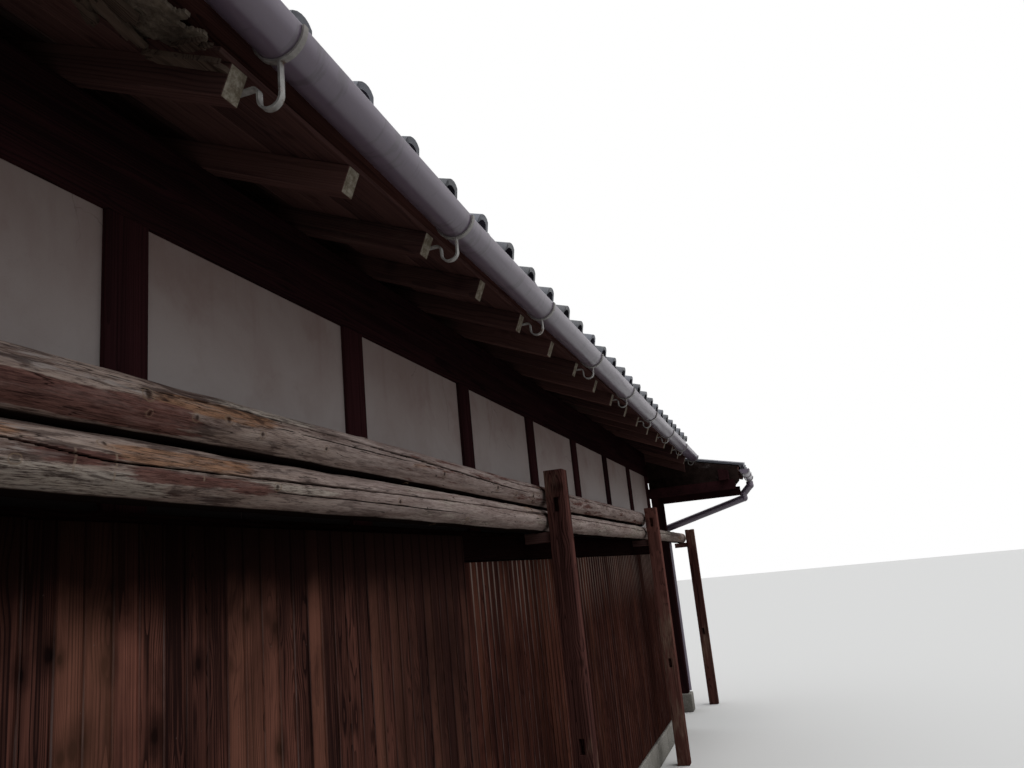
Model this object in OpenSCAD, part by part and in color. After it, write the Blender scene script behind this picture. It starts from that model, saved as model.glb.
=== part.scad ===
// Townhouse wing: timber frame, clay walls, board cladding and a tiled gable roof.
// Millimetres. X runs along the front wall, Y goes inwards, Z is up from the ground.

/* [Plan] */
// Distance between wall posts
bay = 985; // [900:5:1100]
// Bays along the front
front_bays = 8; // [6:1:8]
// Bays from front to back
depth_bays = 4; // [3:1:5]

/* [Base] */
// Height of the foundation stones
stone_h = 180; // [100:10:260]
// Width of the foundation stones
stone_w = 180; // [140:10:240]
// Joint between two foundation stones
stone_joint = 6; // [3:1:12]
// Height of the sill beams
sill_h = 120; // [90:5:150]

/* [Frame] */
// Width of the posts, sills and beams
post_w = 120; // [100:5:135]
// Height of the underside of the wall plates
plate_z = 2390; // [2200:10:2600]
// Height of the outer face of the wall plates
plate_h = 238; // [160:2:280]
// Height of the tie beams
tie_h = 180; // [140:10:230]
// Side of the purlins, struts and ridge beam
purlin_w = 105; // [75:5:120]

/* [Walls] */
// Thickness of the plastered clay walls
wall_t = 70; // [50:5:80]
// Setback of the plaster from the face of the posts
wall_setback = 14; // [8:1:25]
// Thickness of the cladding boards
board_t = 20; // [12:1:30]
// Thickness of the battens behind the boards
batten_t = 18; // [12:1:24]
// Height of a batten
batten_h = 42; // [30:2:60]
// Height of the rail along the top of the battens
rail_h = 120; // [80:5:140]
// Height of the top of the rail
rail_z = 1745; // [1700:5:1780]
// Height of the top of the old boards
old_board_z = 1726; // [1690:2:1740]
// Height of the top of the newer boards
new_board_z = 1622; // [1580:2:1630]
// Height of the bottom of the boards
board_foot = 205; // [190:5:300]
// Length of wall that has the old boards
old_board_l = 2700; // [1800:20:3600]

/* [Roof] */
// Rise of the roof in millimetres for a metre of run
roof_rise = 420; // [380:5:480]
// Overhang of the rafters past the front wall
eave_out = 386; // [300:2:450]
// Width of a rafter
rafter_w = 49; // [40:1:60]
// Depth of a rafter
rafter_d = 68; // [55:1:80]
// Spacing of the rafters
rafter_pitch = 437.8; // [400:0.1:470]
// Place of the first rafter past the near wall
rafter_first = 382; // [300:2:400]
// Thickness of the roof boards
deck_t = 12; // [9:1:18]
// Thickness of the clay bed at the eave
bed_eave = 130; // [100:5:150]
// Thickness of the clay bed at the ridge
bed_ridge = 70; // [50:5:90]
// Overhang of the lowest tiles past the eave board
tile_out = 40; // [30:2:60]
// Width of one tile
tile_pitch = 280; // [250:5:300]
// Height of the roll of a tile over its pan
tile_roll = 52; // [40:2:64]
// Thickness of a tile
tile_t = 18; // [14:1:24]
// Overhang of the roof past the end walls
verge_out = 20; // [10:2:24]

/* [Ridge] */
// Width of the ridge stack
ridge_w = 210; // [180:5:260]
// Height of the ridge stack
ridge_h = 130; // [90:5:180]
// Radius of the round ridge tiles
ridge_r = 75; // [60:5:90]

/* [Gutter] */
// Outer radius of the gutter
gutter_r = 54; // [48:0.5:58]
// Wall of the gutter
gutter_t = 2.5; // [2:0.5:4]
// Gap between the gutter and the eave board
gutter_gap = 26; // [22:1:32]
// Fall of the near length of gutter
gutter_near_fall = 64; // [40:2:70]
// Fall of the far length of gutter
gutter_fall = 34; // [0:2:44]
// Thickness of the bar that the hooks are bent from
hook_t = 5; // [3:0.5:6]
// Width of the bar that the hooks are bent from
hook_w = 15; // [10:1:20]
// Inner radius of the bends of the hooks
hook_bend = 22; // [18:1:26]

/* [Canopy] */
// Overhang of the canopy past its post
canopy_verge = 100; // [60:5:160]
// Reach of the canopy rafters past the front wall
canopy_out = 888; // [800:4:920]
// Rise of the canopy in millimetres for a metre of run
canopy_rise = 220; // [180:5:240]
// Depth of a canopy rafter
canopy_rafter_d = 55; // [45:1:65]
// Height of the roll of a canopy tile over its pan
canopy_roll = 38; // [25:1:45]
// Side of the canopy arms and purlin
arm_w = 90; // [75:5:105]
// Height of the underside of the canopy arms
arm_z = 2165; // [2080:5:2180]
// Distance from the ends of the canopy rafters to the outer purlin
purlin_set = 90; // [60:5:130]
// Depth of the canopy beam on the line of the front wall
back_beam_h = 120; // [90:5:140]
// Outer radius of the canopy gutter
canopy_gutter_r = 45; // [38:1:48]
// Radius of the downpipe
pipe_r = 37.5; // [25:0.5:40]

/* [Log rack] */
// Radius of the logs at their thick end
log_r = 61.5; // [50:0.5:64]
// Radius of the logs at their thin end
log_tip_r = 55; // [45:0.5:58]
// Distance of the log axis from the wall
log_out = 84; // [75:1:95]
// Height of the axis of the lower log at the near end
log_z = 1815; // [1812:1:1850]
// Fall of the logs towards the far end
log_fall = 30; // [0:2:40]
// Side of the prop posts
prop_w = 95; // [80:1:110]
// Place of the near prop post
near_prop_x = 100; // [0:10:600]
// Place of the second prop post
second_prop_x = 3590; // [3000:10:3900]
// Distance between the later prop posts
prop_pitch = 2955; // [2700:5:2960]
// Distance of the far prop post past the canopy post
far_prop_past = 365; // [250:5:500]
// Gap between a prop post and the logs
prop_gap = 10; // [5:1:20]
// Height of the near and third prop posts
prop_h = 1990; // [1900:5:2030]
// Height of the second prop post
second_prop_h = 2040; // [1990:5:2080]
// Height of the far prop post
far_prop_h = 1870; // [1800:5:1900]
// Height of the cross arms
rack_arm_h = 50; // [40:2:60]

/* [Hidden] */

$fn = 48;
half = post_w / 2;
house_l = front_bays * bay;
house_d = depth_bays * bay + post_w;
wall_end = house_l + half;
sill_top = stone_h + sill_h;
ridge_y = house_d / 2;
slope = roof_rise / 1000;
angle = atan(slope);
plate_top = plate_z + plate_h;
x_near = -half - verge_out;
x_far = wall_end + verge_out;
// Gap left between the halves of a joint
joint = 1;
// Gap left where a round piece sits in or on another
seat = 0.3;

// Layers of the roof, measured square to the rafters from their underside
deck_top = rafter_d + deck_t;
eave_board_t = 60;
// Distance of the eave board past the ends of the rafters
eave_board_out = 14;
eave_y = -eave_out - eave_board_out;
ridge_gap = 30;

// Gutter and hooks
gutter_y = eave_y - gutter_gap - gutter_r;
// Height of the lip over the top of the wall plate at the near end
gutter_lift = 8;
gutter_z = plate_top + gutter_lift;
gutter_past = 50;
gutter_end = house_l + gutter_past;
gutter_step = 3;
// Gap between a length of gutter and the straps under it
strap_gap = 0.5;
bead_r = 4;
foot_l = 65;
foot_bend = 10;
// Straight part of a hook between its foot and its lower bend
hook_drop = 15;
hook_z = plate_top - slope * eave_out + rafter_d / 2;

// Canopy
canopy_slope = canopy_rise / 1000;
canopy_angle = atan(canopy_slope);
canopy_board_t = 15;
canopy_gap = 8;
canopy_x0 = x_far + canopy_gap;
canopy_post_x = house_l + bay;
canopy_x1 = canopy_post_x + half + canopy_verge;
purlin_y = -canopy_out + purlin_set;
canopy_z = arm_z + 2 * arm_w - canopy_slope * purlin_y;
canopy_deck_top = canopy_rafter_d + deck_t;
// Setback of the canopy beams and boards from the ends of what they lie on
canopy_set = 10;
canopy_in = post_w - canopy_set;
canopy_tile_out = 42;
canopy_gutter_out = 60;
canopy_gutter_lift = 26;
canopy_gutter_y = -canopy_out - canopy_gutter_out;
canopy_gutter_z = canopy_z - canopy_slope * canopy_out + canopy_gutter_lift;
// Downpipe, with the amount by which it steps in under the gutter
pipe_t = 2.5;
pipe_gap = 3;
pipe_in = 83;
pipe_stub = 44;
pipe_step = 45;
pipe_drop = 240;
outlet_inset = 12;
outlet_x = canopy_post_x + half + pipe_gap + pipe_r + pipe_t;
pipe_y = -log_out + log_r + pipe_gap + pipe_r + pipe_t;
pipe_lift = 10;
pipe_foot = stone_h + pipe_lift;
pipe_top = canopy_gutter_z - canopy_gutter_r - seat;
elbow_y = canopy_gutter_y + pipe_in;
elbow_drop = 30;
elbow_z = arm_z - elbow_drop;
// Places where the downpipe bends
pipe_bends = [[canopy_gutter_y, pipe_top - pipe_stub], [elbow_y, elbow_z + pipe_step],
    [elbow_y, elbow_z], [pipe_y, elbow_z - pipe_drop]];

// Log rack
prop_y = -log_out - log_r - prop_gap - prop_w / 2;
far_prop_x = canopy_post_x + far_prop_past;
prop_xs = [near_prop_x, second_prop_x, second_prop_x + prop_pitch, far_prop_x];
log_x0 = -150;
log_past = 70;
upper_log_past = 40;
log_x1 = far_prop_x + prop_w / 2 + log_past;
upper_log_x1 = second_prop_x + prop_pitch + prop_w / 2 + upper_log_past;
upper_log_set = 60;
rack_arm_w = 45;
// Gap left in the boards round an arm of the rack
notch_gap = 2;

// Middle of the outline, which stands over the origin
mid_x = (log_x0 + log_x1) / 2;
mid_y = (house_d - gutter_y + gutter_r + strap_gap
    + canopy_gutter_y - canopy_gutter_r - seat) / 2;

clay = [0.69, 0.65, 0.58];
dark_wood = [0.19, 0.11, 0.08];
old_wood = [0.25, 0.13, 0.08];
new_wood = [0.42, 0.22, 0.12];
tile_grey = [0.24, 0.25, 0.27];
bed_brown = [0.42, 0.34, 0.25];
gutter_brown = [0.24, 0.17, 0.17];
zinc = [0.62, 0.61, 0.58];
log_brown = [0.45, 0.33, 0.23];
stone_grey = [0.5, 0.48, 0.44];

function post_x(i) = i * bay;
function plumb(t) = t / cos(angle);
// Height of the rafter underside, of the roof boards and of the tile bed over a place y
function under_z(y) = plate_top + slope * y;
function deck_z(y) = under_z(y) + plumb(deck_top);
function rafter_top_z(y) = under_z(y) + plumb(rafter_d);
eave_z = deck_z(eave_y) + plumb(bed_eave);
tile_slope = (deck_z(ridge_y) + plumb(bed_ridge) - eave_z) / (ridge_y - eave_y);
tile_angle = atan(tile_slope);
function bed_z(y) = eave_z + tile_slope * (y - eave_y);
crest_z = bed_z(ridge_y - ridge_gap) + (tile_t + tile_roll) * cos(tile_angle) + seat;
// Places of the rafters, and of the hooks on every second one
rafter_xs = concat([0], [for (x = [rafter_first : rafter_pitch : house_l - rafter_pitch / 2]) x],
    [house_l]);
hook_xs = concat([0], [for (i = [2 : 2 : len(rafter_xs) - 2]) rafter_xs[i]], [house_l]);
// The far length of gutter starts just past a hook
gutter_far_x = hook_xs[2] + rafter_w / 2 + hook_w + gutter_step;
gutter_far_z = gutter_z - gutter_near_fall - gutter_step;
gutter_near_l = gutter_far_x - joint - x_near;
gutter_far_l = gutter_end - gutter_far_x;
// Height of the gutter lip over a place x
function gutter_lip(x) = x < gutter_far_x
    ? gutter_z - gutter_near_fall * (x - x_near) / gutter_near_l
    : gutter_far_z - gutter_fall * (x - gutter_far_x) / gutter_far_l;
// Height of the underside of the canopy rafters over a place y
function canopy_under(y) = canopy_z + canopy_slope * y;
// Radius and axis height of the lower log, and axis height of the upper one
function log_radius(x) = log_r - (log_r - log_tip_r) * (x - log_x0) / (log_x1 - log_x0);
function log_axis(x) = log_z - log_fall * (x - log_x0) / (log_x1 - log_x0);
function upper_axis(x) = log_axis(x) + 2 * log_radius(x) + seat;
function rack_arm_top(x) = log_axis(x + rack_arm_w / 2) - log_radius(x) - seat;

module placed() {
    translate([-mid_x, -mid_y, 0]) children();
}

// An outline in Y and Z, drawn out along X from x0 to x1
module along_x(x0, x1) {
    translate([x0, 0, 0]) rotate([90, 0, 90]) linear_extrude(x1 - x0) children();
}

// The same piece for the back of the house
module at_back() {
    translate([0, house_d, 0]) mirror([0, 1, 0]) children();
}

module block(low, high) {
    translate(low) cube(high - low);
}

// A band of roof between y0 and y1, with plumb ends
module roof_band(y0, y1, low0, low1, high0, high1) {
    polygon([[y0, low0], [y1, low1], [y1, high1], [y0, high0]]);
}

// Foundation and sills
module stone_row(x0, x1, y0, y1, count) {
    step = (x1 - x0 + stone_joint) / count;
    for (i = [0 : count - 1]) {
        block([x0 + i * step, y0, 0], [x0 + (i + 1) * step - stone_joint, y1, stone_h]);
    }
}

module foundation_stones() {
    rim = (stone_w - post_w) / 2;
    color(stone_grey) placed() {
        for (y = [-rim, house_d - post_w - rim]) {
            stone_row(-half - rim, wall_end + rim, y, y + stone_w, 2 * front_bays);
        }
        for (x = [0, house_l]) {
            translate([x + half + rim, 0, 0]) rotate([0, 0, 90]) {
                stone_row(post_w + rim + stone_joint, house_d - post_w - rim - stone_joint,
                    0, stone_w, 2 * depth_bays);
            }
        }
        block([canopy_post_x - half - rim, -rim, 0],
            [canopy_post_x + half + rim, post_w + rim, stone_h]);
    }
}

module long_sill() {
    block([-half, 0, stone_h], [wall_end, post_w, sill_top]);
}

module front_sill() {
    color(dark_wood) placed() long_sill();
}

module back_sill() {
    color(dark_wood) placed() at_back() long_sill();
}

module cross_sills() {
    color(dark_wood) placed() for (x = [0, house_l]) {
        block([x - half, post_w, stone_h], [x + half, house_d - post_w, sill_top]);
    }
}

// Wall frame
module wall_posts() {
    for (i = [0 : front_bays]) {
        block([post_x(i) - half, 0, sill_top], [post_x(i) + half, post_w, plate_z]);
    }
}

module front_posts() {
    color(dark_wood) placed() wall_posts();
}

module back_posts() {
    color(dark_wood) placed() at_back() wall_posts();
}

module end_posts() {
    color(dark_wood) placed() for (x = [0, house_l]) {
        for (j = [1 : depth_bays - 1]) {
            block([x - half, j * bay, sill_top], [x + half, j * bay + post_w, plate_z]);
        }
    }
}

module wall_plate() {
    along_x(-half, wall_end) {
        roof_band(0, post_w, plate_z, plate_z, plate_top, under_z(post_w));
    }
}

module front_plate() {
    color(dark_wood) placed() wall_plate();
}

module back_plate() {
    color(dark_wood) placed() at_back() wall_plate();
}

// Roof frame: ties from plate to plate, struts on the inner ones, purlins and ridge beam
tie_is = concat([for (i = [0 : 2 : front_bays - 1]) i], [front_bays]);
purlin_mid = (half + ridge_y) / 2;
purlin_foot = under_z(purlin_mid - purlin_w / 2) - purlin_w;
ridge_foot = under_z(ridge_y - purlin_w / 2) - purlin_w;
tie_top = plate_z + tie_h;

module tie_beams() {
    color(dark_wood) placed() for (i = tie_is) {
        block([post_x(i) - half, post_w, plate_z], [post_x(i) + half, house_d - post_w, tie_top]);
    }
}

module strut(x, y, top) {
    w = purlin_w / 2;
    block([x - w, y - w, tie_top], [x + w, y + w, top]);
}

module roof_struts() {
    color(dark_wood) placed() for (i = [1 : len(tie_is) - 2]) {
        x = post_x(tie_is[i]);
        strut(x, purlin_mid, purlin_foot);
        strut(x, ridge_y, ridge_foot);
        strut(x, house_d - purlin_mid, purlin_foot);
    }
}

module purlin_outline() {
    y0 = purlin_mid - purlin_w / 2;
    y1 = purlin_mid + purlin_w / 2;
    roof_band(y0, y1, purlin_foot, purlin_foot, under_z(y0), under_z(y1));
}

module ridge_beam_outline() {
    y0 = ridge_y - purlin_w / 2;
    y1 = ridge_y + purlin_w / 2;
    polygon([[y0, ridge_foot], [y1, ridge_foot], [y1, under_z(y0)],
        [ridge_y, under_z(ridge_y)], [y0, under_z(y0)]]);
}

module purlins() {
    color(dark_wood) placed() {
        along_x(-half, wall_end) purlin_outline();
        at_back() along_x(-half, wall_end) purlin_outline();
    }
}

module ridge_beam() {
    color(dark_wood) placed() along_x(-half, wall_end) ridge_beam_outline();
}

// Clay walls
module wall_panels() {
    for (i = [0 : front_bays - 1]) {
        block([post_x(i) + half, wall_setback, sill_top],
            [post_x(i + 1) - half, wall_setback + wall_t, plate_z]);
    }
}

module front_plaster() {
    color(clay) placed() wall_panels();
}

module back_plaster() {
    color(clay) placed() at_back() wall_panels();
}

// Slot of the gable in which a beam of the roof lies, open at the top
module beam_notch(y, foot) {
    translate([y - purlin_w / 2, foot]) square([purlin_w, plate_top]);
}

// Party wall between x0 and x1: panels between the posts, and the gable above its tie beam
module party_wall(x0, x1) {
    for (j = [0 : depth_bays - 1]) {
        block([x0, j * bay + post_w, sill_top], [x1, (j + 1) * bay, plate_z]);
    }
    along_x(x0, x1) {
        difference() {
            polygon([[post_w, tie_top], [house_d - post_w, tie_top],
                [house_d - post_w, under_z(post_w)], [ridge_y, under_z(ridge_y)],
                [post_w, under_z(post_w)]]);
            for (y = [purlin_mid, house_d - purlin_mid]) {
                beam_notch(y, purlin_foot);
            }
            beam_notch(ridge_y, ridge_foot);
        }
    }
}

module party_walls() {
    color(clay) placed() {
        party_wall(-half + wall_setback, -half + wall_setback + wall_t);
        party_wall(wall_end - wall_setback - wall_t, wall_end - wall_setback);
    }
}

// Cladding: battens and a top rail on the posts, then the boards
batten_step = (new_board_z - board_foot - 2 * batten_h) / 3;

module battens() {
    block([-half, -batten_t, rail_z - rail_h], [wall_end, 0, rail_z]);
    for (i = [0 : 3]) {
        z = board_foot + batten_h / 2 + i * batten_step;
        block([-half, -batten_t, z], [wall_end, 0, z + batten_h]);
    }
}

module front_battens() {
    color(dark_wood) placed() battens();
}

module back_battens() {
    color(dark_wood) placed() at_back() battens();
}

module board_wall(x0, x1, top) {
    block([x0, -batten_t - board_t, board_foot], [x1, -batten_t, top]);
}

// The old boards are notched from above where the near arm of the rack enters the wall
module old_boards() {
    side = rack_arm_w / 2 + notch_gap;
    foot = rack_arm_top(near_prop_x) - rack_arm_h - notch_gap;
    color(old_wood) placed() difference() {
        board_wall(-half, old_board_l, old_board_z);
        block([near_prop_x - side, -batten_t - board_t - joint, foot],
            [near_prop_x + side, -batten_t + joint, rail_z]);
    }
}

module new_boards() {
    color(new_wood) placed() board_wall(old_board_l + joint, wall_end, new_board_z);
}

module back_boards() {
    color(old_wood) placed() at_back() board_wall(-half, wall_end, new_board_z);
}

// Rafters are cut square at the eave and plumb at the ridge
function on_slope(y, z) = (y + z * sin(angle)) / cos(angle);

module slope_space() {
    translate([0, 0, plate_top]) rotate([angle, 0, 0]) children();
}

module slope_layer(x0, x1, start, low, high) {
    slope_space() along_x(x0, x1) {
        polygon([[start, low], [on_slope(ridge_y - joint, low), low],
            [on_slope(ridge_y - joint, high), high], [start, high]]);
    }
}

module rafters() {
    for (x = rafter_xs) {
        slope_layer(x - rafter_w / 2, x + rafter_w / 2, -eave_out / cos(angle), 0, rafter_d);
    }
}

module front_rafters() {
    color(dark_wood) placed() rafters();
}

module back_rafters() {
    color(dark_wood) placed() at_back() rafters();
}

module deck() {
    slope_layer(x_near, x_far, -eave_out / cos(angle), rafter_d, deck_top);
}

module roof_deck() {
    color(dark_wood) placed() {
        deck();
        at_back() deck();
    }
}

module eave_board() {
    y1 = eave_y + eave_board_t;
    along_x(x_near, x_far) {
        roof_band(eave_y, y1, deck_z(eave_y), deck_z(y1), bed_z(eave_y), bed_z(y1));
    }
}

module eave_boards() {
    color(dark_wood) placed() {
        eave_board();
        at_back() eave_board();
    }
}

module bed() {
    y0 = eave_y + eave_board_t;
    y1 = ridge_y - joint;
    along_x(x_near, x_far) {
        roof_band(y0, y1, deck_z(y0), deck_z(y1), bed_z(y0), bed_z(y1));
    }
}

module roof_bed() {
    color(bed_brown) placed() {
        bed();
        at_back() bed();
    }
}

// Tiles: a shallow pan and a round roll, repeated along X
pan_share = 0.62;
pan_rise = 8;
pan_steps = 4;
roll_steps = 6;
function pan_z(u) = pan_rise * pow(2 * u / pan_share - 1, 2);
function roll_z(u, roll) = pan_rise + (roll - pan_rise) * sin(180 * (u - pan_share) / (1 - pan_share));
function tile_line(roll) = concat(
    [for (i = [0 : pan_steps]) let (u = pan_share * i / pan_steps) [u, pan_z(u)]],
    [for (i = [1 : roll_steps - 1]) let (u = pan_share + (1 - pan_share) * i / roll_steps)
        [u, roll_z(u, roll)]]);
function tile_row(x0, pitch, count, roll) = concat(
    [for (n = [0 : count - 1], p = tile_line(roll)) [x0 + (n + p[0]) * pitch, p[1]]],
    [[x0 + count * pitch, pan_rise]]);

module tile_sheet(x0, x1, y0, y1, roll) {
    count = round((x1 - x0) / tile_pitch);
    top = tile_row(x0, (x1 - x0) / count, count, roll);
    last = len(top) - 1;
    translate([0, y1, 0]) rotate([90, 0, 0]) linear_extrude(y1 - y0) {
        polygon(concat([for (p = top) [p[0], p[1] + tile_t]],
            [for (i = [last : -1 : 0]) top[i]]));
    }
}

module tiles() {
    translate([0, eave_y, eave_z]) rotate([tile_angle, 0, 0]) {
        tile_sheet(x_near, x_far, -tile_out / cos(tile_angle),
            (ridge_y - ridge_gap - eave_y) / cos(tile_angle), tile_roll);
    }
}

module front_tiles() {
    color(tile_grey) placed() tiles();
}

module back_tiles() {
    color(tile_grey) placed() at_back() tiles();
}

// Ridge: stepped courses of flat tiles under a row of round ones
ridge_courses = 4;
ridge_lip = 7;
end_tile_t = 60;
end_tile_out = 40;

module ridge_outline() {
    course = ridge_h / ridge_courses;
    for (i = [0 : ridge_courses - 1]) {
        w = ridge_w / 2 - i * ridge_lip;
        translate([ridge_y - w, crest_z + i * course]) square([2 * w, course]);
        translate([ridge_y - w + ridge_lip / 2, crest_z + i * course]) square([2 * w - ridge_lip, course]);
    }
    intersection() {
        translate([ridge_y, crest_z + ridge_h]) circle(ridge_r);
        translate([ridge_y - ridge_r, crest_z + ridge_h - 1]) square([2 * ridge_r, ridge_r + 2]);
    }
}

module ridge_tiles() {
    color(tile_grey) placed() along_x(x_near + end_tile_t, x_far - end_tile_t) ridge_outline();
}

module ridge_ends() {
    w = ridge_w / 2 + end_tile_out;
    color(tile_grey) placed() for (x = [x_near, x_far - end_tile_t]) {
        along_x(x, x + end_tile_t) {
            translate([ridge_y - w, crest_z]) square([2 * w, ridge_h]);
            intersection() {
                translate([ridge_y, crest_z + ridge_h]) scale(w / ridge_r) circle(ridge_r);
                translate([ridge_y - w, crest_z + ridge_h - 1]) square([2 * w, w + 2]);
            }
        }
    }
}

module bargeboards() {
    depth = 150;
    top = function (y) rafter_top_z(y);
    color(dark_wood) placed() for (x = [x_near, wall_end]) {
        along_x(x, x + verge_out) {
            polygon([[-eave_out, top(-eave_out) - depth], [ridge_y, top(ridge_y) - depth],
                [house_d + eave_out, top(-eave_out) - depth], [house_d + eave_out, top(-eave_out)],
                [ridge_y, top(ridge_y)], [-eave_out, top(-eave_out)]]);
        }
    }
}

// Gutters: half-round channels with a bead on the outer lip and closed ends
module channel(l, r) {
    along_x(0, l) {
        difference() {
            circle(r);
            circle(r - gutter_t);
            translate([-2 * r, 0]) square([4 * r, 2 * r]);
        }
        translate([bead_r - r, 0]) circle(bead_r);
    }
}

module channel_end(x, r) {
    along_x(x, x + gutter_t) {
        difference() {
            circle(r - gutter_t / 2);
            translate([-2 * r, 0]) square([4 * r, 2 * r]);
        }
    }
}

// A length of gutter that starts at x and z and falls towards the far end
module gutter_space(x, z, fall, l) {
    translate([x, gutter_y, z]) rotate([0, atan(fall / l), 0]) children();
}

module long_gutter() {
    gutter_space(x_near, gutter_z, gutter_near_fall, gutter_near_l) {
        channel(gutter_near_l, gutter_r);
        channel_end(0, gutter_r);
    }
    gutter_space(gutter_far_x, gutter_far_z, gutter_fall, gutter_far_l) {
        channel(gutter_far_l, gutter_r);
        channel_end(gutter_far_l - gutter_t, gutter_r);
    }
}

module front_gutter() {
    color(gutter_brown) placed() long_gutter();
}

module back_gutter() {
    color(gutter_brown) placed() at_back() long_gutter();
}

// Part of a bent bar: the ring around a centre, kept inside a square corner or half
module bend(y, z, r, keep_y, keep_z) {
    big = 2 * (r + hook_t);
    translate([y, z]) intersection() {
        difference() {
            circle(r + hook_t);
            circle(r);
        }
        translate([keep_y < 0 ? -big : -big / 2, keep_z < 0 ? -big : 0]) square(big);
    }
}

// Hook: foot on the side of a rafter, a bend down, a bend up and a strap under the gutter
module long_hook(x) {
    lip = gutter_lip(x + (rafter_w + hook_w) / 2);
    leg_y = gutter_y - hook_t / 2;
    bend_y = leg_y + hook_t + hook_bend;
    rise_y = bend_y + hook_bend;
    foot_y = rise_y + hook_t + foot_bend;
    low_z = hook_z - foot_bend - hook_drop;
    strap_r = gutter_r + strap_gap;
    along_x(x + rafter_w / 2, x + rafter_w / 2 + hook_w) {
        bend(gutter_y, lip, strap_r, 0, -1);
        translate([leg_y, low_z]) square([hook_t, lip - strap_r - hook_t / 2 - low_z]);
        bend(bend_y, low_z, hook_bend, 0, -1);
        translate([rise_y, low_z]) square([hook_t, hook_z - foot_bend - low_z]);
        bend(foot_y, hook_z - foot_bend, foot_bend, -1, 1);
        translate([foot_y, hook_z]) square([foot_l, hook_t]);
    }
}

module short_hook(x) {
    r = canopy_gutter_r;
    along_x(x + rafter_w / 2, x + rafter_w / 2 + hook_w) {
        bend(canopy_gutter_y, canopy_gutter_z, r + seat, 0, -1);
        translate([canopy_gutter_y + r + seat, canopy_gutter_z - hook_t]) square([foot_l, hook_t]);
    }
}

module gutter_hooks() {
    color(zinc) placed() {
        for (x = hook_xs) {
            long_hook(x);
            at_back() long_hook(x);
        }
        for (x = canopy_rafter_xs) {
            short_hook(x);
        }
    }
}

// Canopy over the open bay past the far wall
canopy_rafter_xs = [canopy_x0 + canopy_board_t + rafter_w / 2,
    (canopy_x0 + canopy_post_x) / 2, canopy_post_x];

module canopy_post() {
    color(dark_wood) placed() {
        block([canopy_post_x - half, 0, stone_h], [canopy_post_x + half, post_w, canopy_z - back_beam_h]);
    }
}

module outer_purlin(x0, x1) {
    foot = arm_z + arm_w;
    along_x(x0, x1) {
        roof_band(purlin_y, purlin_y + arm_w, foot, foot,
            canopy_under(purlin_y), canopy_under(purlin_y + arm_w));
    }
}

module canopy_beams() {
    color(dark_wood) placed() {
        for (x = [house_l, canopy_post_x]) {
            block([x - arm_w / 2, purlin_y - arm_w / 2, arm_z], [x + arm_w / 2, 0, arm_z + arm_w]);
        }
        outer_purlin(house_l - arm_w, canopy_x1 - canopy_set);
        along_x(wall_end, canopy_x1 - canopy_set) {
            roof_band(0, post_w, canopy_z - back_beam_h, canopy_z - back_beam_h,
                canopy_z, canopy_under(post_w));
        }
    }
}

module canopy_space() {
    translate([0, 0, canopy_z]) rotate([canopy_angle, 0, 0]) children();
}

module canopy_layer(x0, x1, out, low, high) {
    canopy_space() along_x(x0, x1) {
        translate([-out / cos(canopy_angle), low]) {
            square([(out + canopy_in) / cos(canopy_angle), high - low]);
        }
    }
}

module canopy_rafters() {
    color(dark_wood) placed() for (x = canopy_rafter_xs) {
        canopy_layer(x - rafter_w / 2, x + rafter_w / 2, canopy_out, 0, canopy_rafter_d);
    }
}

// Roof boards of the canopy and the board that closes its near side
module canopy_boards() {
    cut = 60;
    lift = 20;
    foot = arm_z + lift;
    color(dark_wood) placed() {
        canopy_layer(canopy_x0 + canopy_board_t, canopy_x1, canopy_out, canopy_rafter_d, canopy_deck_top);
        difference() {
            along_x(canopy_x0, canopy_x0 + canopy_board_t) {
                polygon([[-canopy_out, foot + cut], [-canopy_out + cut, foot], [-joint, foot],
                    [-joint, canopy_under(0) + canopy_deck_top],
                    [-canopy_out, canopy_under(-canopy_out) + canopy_deck_top]]);
            }
            outer_purlin(house_l, canopy_x1);
        }
    }
}

module canopy_tiles() {
    color(tile_grey) placed() canopy_space() translate([0, 0, canopy_deck_top]) {
        tile_sheet(canopy_x0 + canopy_board_t, canopy_x1,
            -(canopy_out + canopy_tile_out) / cos(canopy_angle), canopy_in / cos(canopy_angle),
            canopy_roll);
    }
}

module canopy_gutter() {
    l = canopy_x1 - canopy_x0 - canopy_board_t;
    color(gutter_brown) placed() {
        difference() {
            translate([canopy_x0 + canopy_board_t, canopy_gutter_y, canopy_gutter_z]) {
                channel(l, canopy_gutter_r);
                channel_end(0, canopy_gutter_r);
                channel_end(l - gutter_t, canopy_gutter_r);
            }
            translate([outlet_x, canopy_gutter_y, canopy_gutter_z - 2 * canopy_gutter_r]) {
                cylinder(r = pipe_r - outlet_inset, h = 2 * canopy_gutter_r);
            }
        }
    }
}

// A straight run of pipe between two points in Y and Z
module pipe_run(a, b, r) {
    run = b - a;
    translate([outlet_x, a[0], a[1]]) rotate([atan2(-run[0], run[1]), 0, 0]) cylinder(r = r, h = norm(run));
}

module pipe_line(r, elbow_r, extra) {
    points = concat([[canopy_gutter_y, pipe_top + extra]], pipe_bends, [[pipe_y, pipe_foot - extra]]);
    for (i = [1 : len(points) - 1]) {
        pipe_run(points[i - 1], points[i], r);
    }
    for (p = pipe_bends) {
        translate([outlet_x, p[0], p[1]]) sphere(elbow_r);
    }
}

module downpipe() {
    color(gutter_brown) placed() difference() {
        pipe_line(pipe_r, pipe_r + pipe_t, 0);
        pipe_line(pipe_r - pipe_t, pipe_r, 1);
    }
}

// Rack for the logs: props with the old mortises of their first use
mortise_zs = [760, 1870];
mortise_w = 26;
mortise_h = 70;
mortise_depth = 55;

module mortise(x, z) {
    translate([x - prop_w / 2 - joint, prop_y - mortise_w / 2, z - mortise_h / 2]) {
        cube([mortise_depth + joint, mortise_w, mortise_h]);
    }
}

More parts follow.
